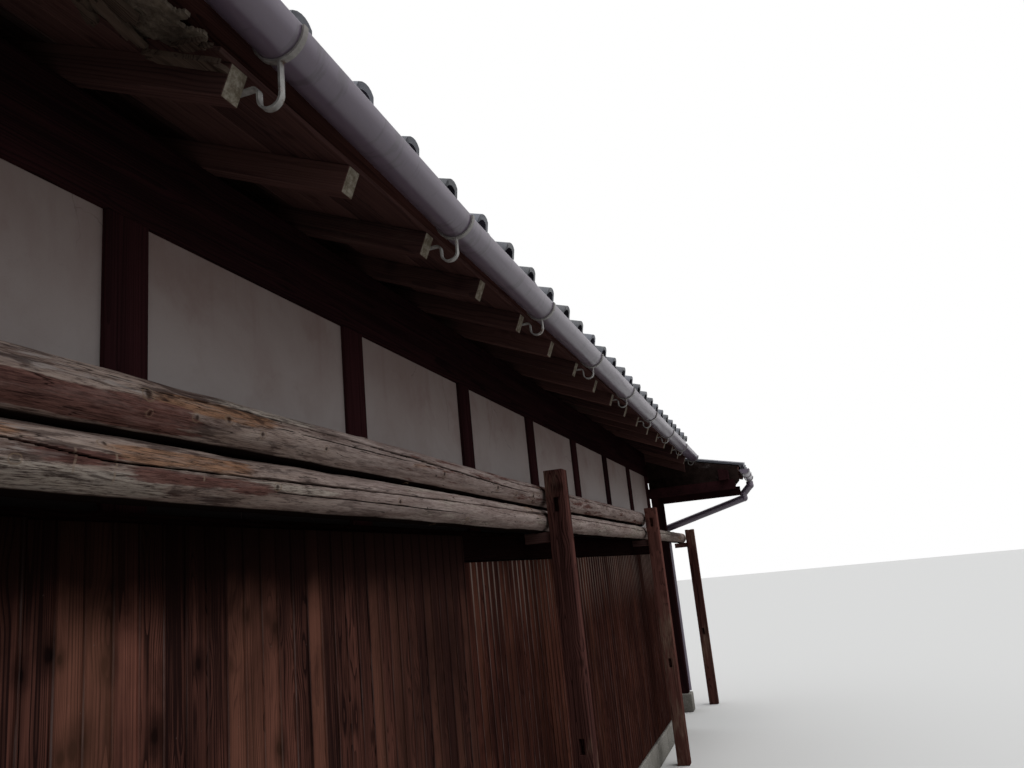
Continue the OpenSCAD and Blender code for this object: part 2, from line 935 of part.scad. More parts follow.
module prop(x, h) {
    difference() {
        block([x - prop_w / 2, prop_y - prop_w / 2, 0], [x + prop_w / 2, prop_y + prop_w / 2, h]);
        for (z = mortise_zs) {
            mortise(x, z);
        }
    }
}

module prop_posts() {
    tops = [prop_h, second_prop_h, prop_h, far_prop_h];
    color(dark_wood) placed() for (i = [0 : 3]) {
        prop(prop_xs[i], tops[i]);
    }
}

module rack_arms() {
    color(dark_wood) placed() for (x = prop_xs) {
        top = rack_arm_top(x);
        block([x - rack_arm_w / 2, prop_y + prop_w / 2, top - rack_arm_h],
            [x + rack_arm_w / 2, -batten_t, top]);
    }
}

module tapered_log(x0, z0, r0, x1, z1, r1) {
    translate([x0, -log_out, z0]) rotate([0, 90 + atan2(z0 - z1, x1 - x0), 0]) {
        cylinder(r1 = r0, r2 = r1, h = norm([x1 - x0, z1 - z0]));
    }
}

module lower_log() {
    color(log_brown) placed() {
        tapered_log(log_x0, log_axis(log_x0), log_r, log_x1, log_axis(log_x1), log_tip_r);
    }
}

module upper_log() {
    x0 = log_x0 + upper_log_set;
    color(log_brown) placed() {
        tapered_log(x0, upper_axis(x0), log_radius(x0),
            upper_log_x1, upper_axis(upper_log_x1), log_radius(upper_log_x1));
    }
}

foundation_stones();
front_sill();
back_sill();
cross_sills();
front_posts();
back_posts();
end_posts();
front_plate();
back_plate();
tie_beams();
roof_struts();
purlins();
ridge_beam();
front_plaster();
back_plaster();
party_walls();
front_battens();
back_battens();
old_boards();
new_boards();
back_boards();
front_rafters();
back_rafters();
roof_deck();
eave_boards();
roof_bed();
front_tiles();
back_tiles();
ridge_tiles();
ridge_ends();
bargeboards();
front_gutter();
back_gutter();
gutter_hooks();
canopy_post();
canopy_beams();
canopy_rafters();
canopy_boards();
canopy_tiles();
canopy_gutter();
downpipe();
prop_posts();
rack_arms();
upper_log();
lower_log();
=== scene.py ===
"""Finishes and fine pieces for a townhouse wing: ribbed cladding, tiles, logs, gutters and timber."""

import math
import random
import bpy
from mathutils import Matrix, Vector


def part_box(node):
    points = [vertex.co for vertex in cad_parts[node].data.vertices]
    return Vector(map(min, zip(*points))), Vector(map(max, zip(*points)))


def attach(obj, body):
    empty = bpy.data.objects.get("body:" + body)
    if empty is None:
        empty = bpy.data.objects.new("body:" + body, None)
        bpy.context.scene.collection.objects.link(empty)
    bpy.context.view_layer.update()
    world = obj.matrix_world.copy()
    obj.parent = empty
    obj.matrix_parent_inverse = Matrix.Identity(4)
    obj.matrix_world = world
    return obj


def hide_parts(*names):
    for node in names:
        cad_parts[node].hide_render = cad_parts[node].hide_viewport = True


bl_info = {
    "name": "Townhouse Wing",
    "version": (1, 0, 0),
    "blender": (4, 5, 0),
    "location": "View3D > Sidebar > Townhouse",
    "description": "Dresses a timber-framed townhouse wing with boards, tiles, logs and weathered finishes",
    "category": "Object",
}

import bmesh
import bpy
from mathutils import Matrix, Vector, noise

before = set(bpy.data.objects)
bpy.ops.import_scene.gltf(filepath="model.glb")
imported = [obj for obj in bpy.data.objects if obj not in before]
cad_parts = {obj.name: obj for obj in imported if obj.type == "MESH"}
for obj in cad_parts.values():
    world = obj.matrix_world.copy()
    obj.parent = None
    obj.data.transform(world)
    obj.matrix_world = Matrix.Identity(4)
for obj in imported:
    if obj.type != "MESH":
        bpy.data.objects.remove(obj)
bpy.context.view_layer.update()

# Driving sizes of the frame, in metres
BAY = 0.985
POST_W = 0.120
PLATE_TOP = 2.628
ROOF_RISE = 0.420
CANOPY_RISE = 0.220
ROLL_TOP = 0.070

# Places read from the frame
FRONT_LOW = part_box("front_posts")[0]
WALL_Y = FRONT_LOW.y
BACK_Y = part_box("back_posts")[1].y
RIDGE_Y = (WALL_Y + BACK_Y) / 2
NEAR_POST_X = FRONT_LOW.x + POST_W / 2
ROOF_ANGLE = math.atan(ROOF_RISE)
CANOPY_ANGLE = math.atan(CANOPY_RISE)

# Marks of the old wood. Places run from the near end post, turns in degrees from the alley side up
KNOT_SQUASH = 0.6
BOARD_KNOTS = [
    (0.781, 1.495, 0.009), (0.805, 1.485, 0.005), (0.904, 1.465, 0.009), (1.030, 1.317, 0.009),
    (1.434, 1.483, 0.009), (1.439, 1.207, 0.010), (1.157, 1.434, 0.008), (1.325, 1.517, 0.006),
    (0.728, 1.470, 0.007), (0.812, 1.325, 0.008), (0.835, 1.334, 0.010), (0.860, 1.343, 0.009),
]
LOG_TIES = [(0.720, 1.809, 0.024), (0.811, 1.812, 0.040), (1.045, 1.812, 0.016)]
LOWER_LOG = {
    "knots": [(0.788, 33, 0.008), (0.607, -12.5, 0.007), (1.301, -6, 0.008)],
    "checks": [
        ([(0.40, 24), (0.581, 18), (0.688, 9), (0.814, 2), (1.023, 5.5), (1.166, 7), (1.535, 12),
          (1.816, 16.5), (2.889, 23), (3.9, 21)], 0.018, 0.0030),
        ([(1.25, -20), (1.8, -16), (2.6, -18)], 0.008, 0.0016),
        ([(3.2, 30), (4.8, 26), (6.4, 20)], 0.015, 0.0030),
        ([(6.0, 12), (7.4, 14), (8.9, 13)], 0.012, 0.0025),
    ],
    "orange": [(0.80, 1.20, 7, 43), (0.25, 0.62, 22, 50)],
    "skin": [(0.62, 0.81, -12, 19), (0.84, 1.30, -27, 0)],
    "beyond": (0.20, -0.10, -0.05, 0.0),
    "pale": [(-0.4, 0.95, -60, -14), (1.15, 1.60, -14, 2)],
    "scale": [(0.30, 0.72, -5, 40)],
    # Painted shade where the upper log lies on this one, and on its underside
    "soot_and_painted_shade": [(-1.0, 20.0, 70, 130), (-1.0, 20.0, -130, -62)],
}
UPPER_LOG = {
    "knots": [(0.881, 13, 0.011), (0.887, -20, 0.006), (1.015, -9.5, 0.008), (1.120, 1, 0.009),
              (1.244, -14, 0.008), (1.522, -15, 0.007)],
    "checks": [
        ([(0.85, 22), (0.999, 26.5), (1.183, 32), (1.353, 29), (1.554, 26), (2.113, 15.6),
          (2.902, 0.7), (3.4, -3)], 0.016, 0.0028),
        ([(1.30, 8), (1.8, 5), (2.3, 3)], 0.006, 0.0014),
        ([(2.9, 29), (4.5, 25), (6.2, 20)], 0.016, 0.0030),
    ],
    "orange": [(0.90, 1.28, -2, 32)],
    "skin": [(-0.4, 1.03, -55, 5)],
    "beyond": (-0.10, -0.05, 0.36, 0.0),
    "pale": [(1.10, 1.50, 30, 60), (-0.4, 0.55, 24, 55)],
    "scale": [(0.60, 0.90, 0, 40)],
    # Painted shade on the underside
    "soot_and_painted_shade": [(-1.0, 20.0, -130, -58)],
}
# Broken boards: place along the wall and up the slope, length, width, turn, drop under the roof boards
BROKEN_BOARDS = [
    (0.738, -0.375, 0.15, 0.036, 96, 0.03), (0.64, -0.3, 0.12, 0.03, 12, 0.02),
    (0.56, -0.34, 0.15, 0.042, -4, 0.014), (0.61, -0.262, 0.09, 0.024, 30, 0.024),
    (0.52, -0.28, 0.13, 0.036, 6, 0.012), (0.69, -0.425, 0.08, 0.022, 70, 0.024),
]


def house(x, y, z):
    """A point given from the near end post and the wall's face, in the row frame."""
    return Vector((NEAR_POST_X + x, WALL_Y + y, z))


def house_x(x):
    return NEAR_POST_X + x


# Shader building blocks
class Value:
    """An output of a shader node. A sum made with it adds the node for that sum to its tree."""

    def __init__(self, socket):
        self.socket = socket

    def __add__(self, other):
        return maths("ADD", self, other)

    def __radd__(self, other):
        return maths("ADD", other, self)

    def __sub__(self, other):
        return maths("SUBTRACT", self, other)

    def __rsub__(self, other):
        return maths("SUBTRACT", other, self)

    def __mul__(self, other):
        return maths("MULTIPLY", self, other)

    def __truediv__(self, other):
        return maths("DIVIDE", self, other)

    def __abs__(self):
        return maths("ABSOLUTE", self)


def put(socket, value):
    """Links a socket to a value that has one, or sets it."""
    value = value.socket if isinstance(value, Value) else value
    if isinstance(value, bpy.types.NodeSocket):
        socket.id_data.links.new(value, socket)
    elif socket.type == "RGBA" and len(value) == 3:
        socket.default_value = (*value, 1.0)
    else:
        socket.default_value = value


def put_all(node, values):
    for key, value in values.items():
        put(node.inputs[key], value)
    return node


def add(tree, kind, values=None, **settings):
    """Adds a node with its settings and inputs, and returns it."""
    made = tree.nodes.new(kind)
    for key, value in settings.items():
        setattr(made, key, value)
    return put_all(made, values or {})


def worked(kind, values, output=0, **settings):
    """An output of a new node in the tree of one of its own inputs."""
    sockets = (v.socket if isinstance(v, Value) else v for v in values.values())
    tree = next(s.id_data for s in sockets if isinstance(s, bpy.types.NodeSocket))
    return Value(add(tree, kind, values, **settings).outputs[output])


def maths(operation, first, second=0.0, clamp=False):
    return worked("ShaderNodeMath", {0: first, 1: second}, operation=operation, use_clamp=clamp)


def vector_maths(operation, first, second):
    output = "Value" if operation in ("DOT_PRODUCT", "DISTANCE") else "Vector"
    return worked("ShaderNodeVectorMath", {0: first, 1: second}, output, operation=operation)


def mixed(factor, first, second):
    return worked("ShaderNodeMix", {0: factor, 6: first, 7: second}, 2, data_type="RGBA")


def stepped(value, low, high, to_low=0.0, to_high=1.0):
    """Value eased from to_low at low to to_high at high."""
    return worked("ShaderNodeMapRange", {"Value": value, "From Min": low, "From Max": high,
                                         "To Min": to_low, "To Max": to_high}, "Result",
                  interpolation_type="SMOOTHSTEP")


def cloud(vector, scale, detail=4.0, roughness=0.55, distortion=0.0):
    return worked("ShaderNodeTexNoise", {"Vector": vector, "Scale": scale, "Detail": detail,
                                         "Roughness": roughness, "Distortion": distortion}, "Fac")


def stretched(vector, scale):
    return vector_maths("MULTIPLY", vector, scale)


def dimmed(color, share):
    return tuple(c * share for c in color)


def new_group(name, inputs, outputs):
    """A shader node group, its inputs as values and its outputs as sockets to put values in."""
    tree = bpy.data.node_groups.new(name, "ShaderNodeTree")
    kinds = {"v": "NodeSocketVector", "c": "NodeSocketColor", "f": "NodeSocketFloat"}
    for label, kind, value in inputs:
        socket = tree.interface.new_socket(name=label, in_out="INPUT", socket_type=kinds[kind])
        if value is not None:
            socket.default_value = (*value, 1.0) if kind == "c" else value
    for label, kind in outputs:
        tree.interface.new_socket(name=label, in_out="OUTPUT", socket_type=kinds[kind])
    given = {s.name: Value(s) for s in tree.nodes.new("NodeGroupInput").outputs if s.name}
    return tree, given, tree.nodes.new("NodeGroupOutput").inputs


def patch_group():
    """A mask of soft, ragged patches."""
    if "Patches" in bpy.data.node_groups:
        return bpy.data.node_groups["Patches"]
    tree, given, result = new_group(
        "Patches", [("Vector", "v", None), ("Stretch", "v", (1.0, 1.0, 1.0)), ("Scale", "f", 3.0),
                    ("Low", "f", 0.5), ("High", "f", 0.7)], [("Mask", "f")])
    wide = cloud(stretched(given["Vector"], given["Stretch"]), given["Scale"], 6.0, 0.62, 0.4)
    put(result["Mask"], stepped(wide, given["Low"], given["High"]))
    return tree


def patches(vector, scale, low, high, stretch=(1.0, 1.0, 1.0)):
    return worked("ShaderNodeGroup", {"Vector": vector, "Stretch": stretch, "Scale": scale, "Low": low,
                                      "High": high}, "Mask", node_tree=patch_group())


class Finish:
    """A material being built, with its shader, its tree, its coordinates and its colour so far."""

    def __init__(self, name):
        self.material = bpy.data.materials.new(name)
        self.material.use_nodes = True
        self.tree = self.material.node_tree
        self.tree.nodes.clear()
        self.shader = add(self.tree, "ShaderNodeBsdfPrincipled")
        add(self.tree, "ShaderNodeOutputMaterial", {"Surface": self.shader.outputs[0]})
        self.place = Value(add(self.tree, "ShaderNodeTexCoord").outputs["Object"])
        self.x, self.y, self.z = self.parted(self.place)

    def parted(self, vector):
        return map(Value, add(self.tree, "ShaderNodeSeparateXYZ", {0: vector}).outputs)

    def attribute(self, name):
        return Value(add(self.tree, "ShaderNodeAttribute", attribute_name=name).outputs["Fac"])

    def along(self, axis, tilt=0.0):
        """Coordinates whose Z runs along the grain: X, Z, or Y turned up by tilt."""
        place = self.place
        if tilt:
            place = worked("ShaderNodeMapping", {"Vector": place, "Rotation": (-tilt, 0.0, 0.0)})
        x, y, z = self.parted(place)
        order = {"X": (y, z, x), "Y": (x, z, y), "Z": (x, y, z)}[axis]
        return worked("ShaderNodeCombineXYZ", dict(enumerate(order)))

    def grain(self, place, **values):
        """The outputs of the wood grain, with the piece's own tone and the inputs that are given."""
        group = add(self.tree, "ShaderNodeGroup", node_tree=grain_group())
        return put_all(group, {"Vector": place, "Tone": self.attribute("tone"), **values}).outputs

    def tint(self, share, color):
        self.color = mixed(share, self.color, color)

    def set(self, roughness, metallic=0.0, height=None, depth=0.001, specular=0.35):
        put_all(self.shader, {"Base Color": self.color, "Roughness": roughness, "Metallic": metallic,
                              "Specular IOR Level": specular})
        if height is not None:
            put(self.shader.inputs["Normal"], worked(
                "ShaderNodeBump", {"Height": height, "Strength": 1.0, "Distance": depth}))
        return self.material


def kept(build):
    """Makes build's material at the first use of its name, and finds it by that name afterwards."""
    def found(name, *values, **options):
        return bpy.data.materials.get(name) or build(Finish(name), *values, **options)
    return found


def grain_group():
    """Sawn or split wood with its grain along Z: growth rings cut through, fibres and knots."""
    if "Wood Grain" in bpy.data.node_groups:
        return bpy.data.node_groups["Wood Grain"]
    tree, given, result = new_group("Wood Grain", [("Vector", "v", None), ("Tone", "f", 0.0),
        ("Dark", "c", (0.02, 0.01, 0.008)), ("Light", "c", (0.12, 0.06, 0.04)), ("Rings", "f", 30.0),
        ("Knots", "f", 1.0), ("Contrast", "f", 1.0), ("Shade", "f", 0.3)], [("Color", "c"),
        ("Roughness", "f"), ("Height", "f")])
    tone, contrast = given["Tone"], given["Contrast"]
    shift = worked("ShaderNodeCombineXYZ", {"X": tone * 3.7, "Y": tone * 2.3, "Z": tone * 7.9})
    place = vector_maths("ADD", given["Vector"], shift)
    far = worked("ShaderNodeTexVoronoi", {"Vector": stretched(place, (8.0, 3.5, 4.5)), "Scale": 1.0,
        "Randomness": 1.0}, "Distance", feature="F1")
    heart = stepped(far, 0.16, 0.04) * given["Knots"]
    around = stepped(far, 0.55, 0.05) * given["Knots"]
    trunk = cloud(stretched(place, (11.0, 11.0, 0.18)), 1.0, 1.5, 0.4)
    field = trunk * given["Rings"] + around * 2.2
    late = stepped(maths("FRACT", field), 0.45, 0.97)
    fibre = cloud(stretched(place, (170.0, 170.0, 3.2)), 1.0, 3.0, 0.6)
    broad = cloud(stretched(place, (14.0, 14.0, 0.8)), 1.0, 3.0)
    light = (fibre * 0.8 + broad * 1.1 - late * 0.3 - 0.87) * contrast + tone * given["Shade"]
    light = maths("ADD", light, 0.42, clamp=True)
    plain = mixed(light, given["Dark"], given["Light"])
    put(result["Color"], mixed(heart, plain, mixed(0.8, plain, (0.006, 0.004, 0.0035))))
    put(result["Roughness"], stepped(fibre, 0.2, 0.9, 0.6, 0.88))
    rough = fibre * 0.7 - late * 0.3
    put(result["Height"], rough - heart * 0.4)
    return tree


def nearest_knot(place, knots):
    """Distance from the closest of some knots, each a place and a radius, counted in radii."""
    nearest = 99.0
    for spot, radius in knots:
        far = vector_maths("DISTANCE", place, tuple(spot))
        nearest = maths("MINIMUM", far / radius, nearest)
    return nearest


@kept
def timber(finish, dark, light, axis, tilt=0.0, pale=None, pale_share=0.0, knots=0.6, end=None,
        contrast=1.0):
    """Wood with its grain along an axis, patches of pale weather, and pale cut ends where end is given.

    end holds directions, each with the distance along it past which a cut end lies."""
    grain_at = finish.along(axis, tilt)
    grain = finish.grain(grain_at, Dark=dark, Light=light, Rings=28.0, Knots=knots, Contrast=contrast)
    finish.color = grain["Color"]
    if pale:
        mask = patches(grain_at, 1.0, 0.66 - pale_share / 3, 0.8 - pale_share / 3, (5.0, 5.0, 1.3))
        fleck = patches(grain_at, 1.0, 0.35, 0.65, (90.0, 90.0, 9.0))
        mask = mask * fleck
        finish.tint(mask * 0.8, pale)
    if end:
        cut = 0.0
        for direction, distance in end:
            reach = vector_maths("DOT_PRODUCT", finish.place, direction)
            cut = cut + stepped(reach, distance - 0.0008, distance - 0.0002)
        speck = cloud(stretched(finish.place, (60.0, 60.0, 60.0)), 1.0, 4.0, 0.7)
        cream = mixed(stepped(speck, 0.35, 0.7), (0.24, 0.2, 0.145), (0.56, 0.51, 0.42))
        finish.tint(maths("MINIMUM", cut, 1.0), cream)
    return finish.set(grain["Roughness"], height=grain["Height"], depth=0.0012, specular=0.0)


# Mesh building blocks
def fresh():
    """An empty mesh with a tone and a wear value on each vertex."""
    mesh = bmesh.new()
    for key in ("tone", "wear"):
        mesh.verts.layers.float.new(key)
    return mesh


def verts_in(geometry):
    return [part for part in geometry if isinstance(part, bmesh.types.BMVert)]


def faces_in(geometry):
    return [part for part in geometry if isinstance(part, bmesh.types.BMFace)]


def set_tone(mesh, verts, value, layer="tone"):
    key = mesh.verts.layers.float[layer]
    for vert in verts:
        vert[key] = value


def add_block(mesh, low, high, tone=0.0):
    """A block between two corners, and its vertices."""
    verts = bmesh.ops.create_cube(mesh, size=1.0)["verts"]
    low, high = Vector(low), Vector(high)
    bmesh.ops.scale(mesh, vec=high - low, verts=verts)
    bmesh.ops.translate(mesh, vec=(low + high) / 2, verts=verts)
    set_tone(mesh, verts, tone)
    return verts


def drawn_out(mesh, edges, reach):
    """Draws edges out into faces, and returns the new vertices and the faces."""
    made = bmesh.ops.extrude_edge_only(mesh, edges=edges)["geom"]
    verts = verts_in(made)
    bmesh.ops.translate(mesh, vec=reach, verts=verts)
    return verts, faces_in(made)


def thickened(mesh, faces, thickness, way=None):
    """Gives an open sheet its thickness, once its faces look along way, and returns its vertices."""
    if way:
        bmesh.ops.recalc_face_normals(mesh, faces=faces)
        if faces[0].normal.dot(Vector(way)) < 0:
            bmesh.ops.reverse_faces(mesh, faces=faces)
    made = faces_in(bmesh.ops.solidify(mesh, geom=faces, thickness=thickness)["geom"])
    return list({v for f in faces + made for v in f.verts})


def bevel_all(mesh, width, segments=1):
    """Eases every sharp edge of the mesh."""
    sharp = math.radians(25)
    edges = [e for e in mesh.edges if len(e.link_faces) == 2 and e.calc_face_angle(0.0) > sharp]
    bmesh.ops.bevel(mesh, geom=edges, offset=width, offset_type="OFFSET", segments=segments, profile=0.5,
        affect="EDGES", material=-1, clamp_overlap=True)


def islands(mesh):
    """The vertices of each separate solid of the mesh."""
    left = set(mesh.verts)
    found = []
    while left:
        start = left.pop()
        group, queue = [start], [start]
        while queue:
            for edge in queue.pop().link_edges:
                for vert in edge.verts:
                    if vert in left:
                        left.discard(vert)
                        group.append(vert)
                        queue.append(vert)
        found.append(group)
    return found


def finished(name, mesh, material, replaces=(), smooth=35.0, recalculate=True):
    """Turns a mesh into a piece of the house that rides on its one body."""
    if recalculate:
        bmesh.ops.recalc_face_normals(mesh, faces=mesh.faces)
    data = bpy.data.meshes.new(name)
    mesh.to_mesh(data)
    mesh.free()
    data.materials.append(material)
    data.shade_smooth()
    data.set_sharp_from_angle(angle=math.radians(smooth))
    piece = bpy.data.objects.new(name, data)
    bpy.context.scene.collection.objects.link(piece)
    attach(piece, "root")
    if replaces:
        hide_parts(*replaces)
    return piece


def softened(name, node, material, edge, segments, seed):
    """A copy of plain timbers or stones with eased arrises and a tone for each solid."""
    chance = random.Random(seed)
    mesh = fresh()
    mesh.from_mesh(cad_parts[node].data)
    bmesh.ops.remove_doubles(mesh, verts=mesh.verts, dist=0.00002)
    bmesh.ops.dissolve_limit(mesh, angle_limit=math.radians(1), verts=mesh.verts, edges=mesh.edges)
    for group in sorted(islands(mesh), key=lambda g: tuple(round(c, 3) for c in min(v.co[:] for v in g))):
        set_tone(mesh, group, chance.uniform(-1, 1))
    bevel_all(mesh, edge, segments)
    return finished(name, mesh, material, [node])


def finish_node(node, material):
    """Gives a CAD node its material and leaves its shape alone."""
    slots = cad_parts[node].data.materials
    slots.clear()
    slots.append(material)


def roof_place(behind=False, angle=ROOF_ANGLE, foot=PLATE_TOP, wall_y=WALL_Y):
    """Matrix from a slope's own axes, X along the eave, Y up the slope and Z off it, to the row frame."""
    place = Matrix.Translation((0, wall_y, foot)) @ Matrix.Rotation(angle, 4, "X")
    if behind:
        place = Matrix.Translation((0, 2 * RIDGE_Y, 0)) @ Matrix.Diagonal((1, -1, 1, 1)) @ place
    return place


def deck_corners(lie, behind=False):
    """The corners of the roof boards on one slope, measured from its place."""
    side = -1 if behind else 1
    corners = (v.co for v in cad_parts["roof_deck"].data.vertices)
    return [lie.inverted() @ c for c in corners if side * (RIDGE_Y - c.y) > -0.002]


# Sizes and colours that can be changed
def color_setting(name, about, color):
    return bpy.props.FloatVectorProperty(name=name, description=about, default=color, subtype="COLOR",
                                         min=0.0, max=1.0)


def setting(name, about, size, low, high, unit="LENGTH"):
    return bpy.props.FloatProperty(name=name, description=about, default=size, unit=unit, min=low,
                                   max=high)


class TownhouseWood(bpy.types.PropertyGroup):
    frame_dark: color_setting("Frame Dark", "Dark grain of the posts and plates", (0.016, 0.0078, 0.0088))
    frame_light: color_setting("Frame Light", "Light grain of the posts and plates",
                               (0.074, 0.025, 0.0275))
    rafter_dark: color_setting("Rafter Dark", "Dark grain of the rafters and roof boards",
                               (0.052, 0.028, 0.0275))
    rafter_light: color_setting("Rafter Light", "Light grain of the rafters and roof boards",
                                (0.235, 0.12, 0.104))
    old_dark: color_setting("Old Cladding Dark", "Dark grain of the old cladding", (0.026, 0.012, 0.0105))
    old_light: color_setting("Old Cladding Light", "Light grain of the old cladding",
                             (0.305, 0.118, 0.084))
    new_dark: color_setting("New Cladding Dark", "Dark grain of the newer cladding",
                            (0.028, 0.011, 0.0092))
    new_light: color_setting("New Cladding Light", "Light grain of the newer cladding",
                             (0.15, 0.052, 0.036))
    log_dark: color_setting("Log Dark", "Dark fibres of the logs", (0.135, 0.084, 0.071))
    log_light: color_setting("Log Light", "Light fibres of the logs", (0.55, 0.43, 0.365))
    log_orange: color_setting("Log Orange", "Bare orange wood on the logs", (0.32, 0.16, 0.085))
    # Also the painted highlight on the ribs of the cladding
    worn_and_highlit: color_setting("Worn Edge", "Bare wood on the worn edges of the cladding", (0.27, 0.185, 0.165))


class TownhouseWalls(bpy.types.PropertyGroup):
    plaster: color_setting("Plaster", "Clean plaster", (0.63, 0.575, 0.555))
    stain: color_setting("Plaster Stain", "Water stains on the plaster", (0.36, 0.255, 0.23))
    rib_pitch: setting("Rib Pitch", "Distance between two ribs of the cladding", BAY / 15, 0.04, 0.12)
    rib_width: setting("Rib Width", "Width of the top of a rib", 0.006, 0.004, 0.02)
    rib_height: setting("Rib Height", "Height of a rib over the boards", 0.0045, 0.002, 0.012)


class TownhouseRoof(bpy.types.PropertyGroup):
    tile_width: setting("Tile Width", "Width that one tile covers", 0.280, 0.2, 0.35)
    tile_course: setting("Tile Course", "Length of a tile that stays in view", 0.235, 0.15, 0.3)
    tile_roll: setting("Tile Roll", "Height of the roll over the pan", 0.052, 0.03, 0.07)
    tile_thick: setting("Tile Thickness", "Thickness of a tile", 0.018, 0.005, 0.02)
    tile_dark: color_setting("Tile Dark", "Dark smoked tiles", (0.045, 0.048, 0.06))
    tile_light: color_setting("Tile Light", "Light smoked tiles", (0.15, 0.158, 0.19))
    board_width: setting("Roof Board Width", "Width of a roof board", 0.115, 0.06, 0.25)


class TownhouseMetal(bpy.types.PropertyGroup):
    gutter: color_setting("Gutter", "Paint of the gutters", (0.182, 0.140, 0.200))
    zinc: color_setting("Zinc", "Dull zinc of the hooks", (0.44, 0.43, 0.41))


class TownhouseView(bpy.types.PropertyGroup):
    eye_height: setting("Eye Height", "Height of the camera over the ground", 1.55, 0.5, 3.0)
    eye_out: setting("Eye Distance", "Distance of the camera from the wall", 1.248, 0.5, 5.0)
    eye_before: setting("Eye Before Corner", "Distance of the camera before the near end post", 0.34,
                        0.0, 5.0)
    lens: setting("Lens", "Focal length of the camera", 28.65, 10.0, 100.0, "CAMERA")


def sizes(name):
    return getattr(bpy.context.scene, "townhouse_" + name)


# Materials
def frame_timber(axis):
    wood = sizes("wood")
    return timber(f"Frame Timber {axis}", wood.frame_dark, wood.frame_light, axis, pale=(0.07, 0.034, 0.03),
        pale_share=0.1, knots=0.3, contrast=0.8)


def rafter_timber(name, axis, tilt=0.0, end=None):
    wood = sizes("wood")
    return timber(name, wood.rafter_dark, wood.rafter_light, axis, tilt, pale=(0.16, 0.12, 0.1),
        pale_share=0.2, knots=0.4, end=end, contrast=0.65)


@kept
def plaster(finish, base, stain, roughcast=0.0, painted_shade_foot=False):
    """Trowelled plaster, dirtier towards the eave, with painted shade along its foot under the logs."""
    height_up = finish.z
    drift = patches(finish.place, 1.7, 0.42, 0.62)
    bloom = patches(finish.place, 5.5, 0.5, 0.72)
    runs = patches(finish.place, 1.0, 0.52, 0.74, (14.0, 14.0, 0.9))
    top = stepped(height_up, 1.95, 2.4)
    speck = cloud(finish.place, 420.0, 3.0, 0.7)
    grime = drift * 0.2 + bloom * 0.15 + runs * top * 0.16 + stepped(height_up, 1.86, 2.34, 0.0, 0.62)
    finish.color = mixed(maths("MINIMUM", grime, 0.9), base, stain)
    finish.tint(stepped(speck, 0.58, 0.75) * 0.25, dimmed(stain, 0.55))
    if painted_shade_foot:
        # Painted shade along the foot of the plaster, under the logs
        foot = stepped(height_up, 1.835, 1.765) * 0.985
        finish.tint(foot, (0.014, 0.009, 0.009))
    wander = worked("ShaderNodeTexNoise", {"Vector": finish.place, "Scale": 7.0, "Detail": 5.0}, "Color")
    wander = vector_maths("ADD", finish.place, stretched(wander, (0.12, 0.12, 0.12)))
    edges = worked("ShaderNodeTexVoronoi", {"Vector": wander, "Scale": 2.1}, "Distance",
        feature="DISTANCE_TO_EDGE")
    crack = stepped(edges, 0.0035, 0.0012) * patches(finish.place, 1.3, 0.52, 0.58)
    finish.tint(crack * 0.55, dimmed(stain, 0.3))
    trowel = cloud(stretched(finish.place, (4.0, 4.0, 9.0)), 1.0, 3.0)
    height = trowel * (2.2 + roughcast) + speck * (0.35 + roughcast) - crack * 0.5
    return finish.set(0.86, height=height, depth=0.0012, specular=0.1)


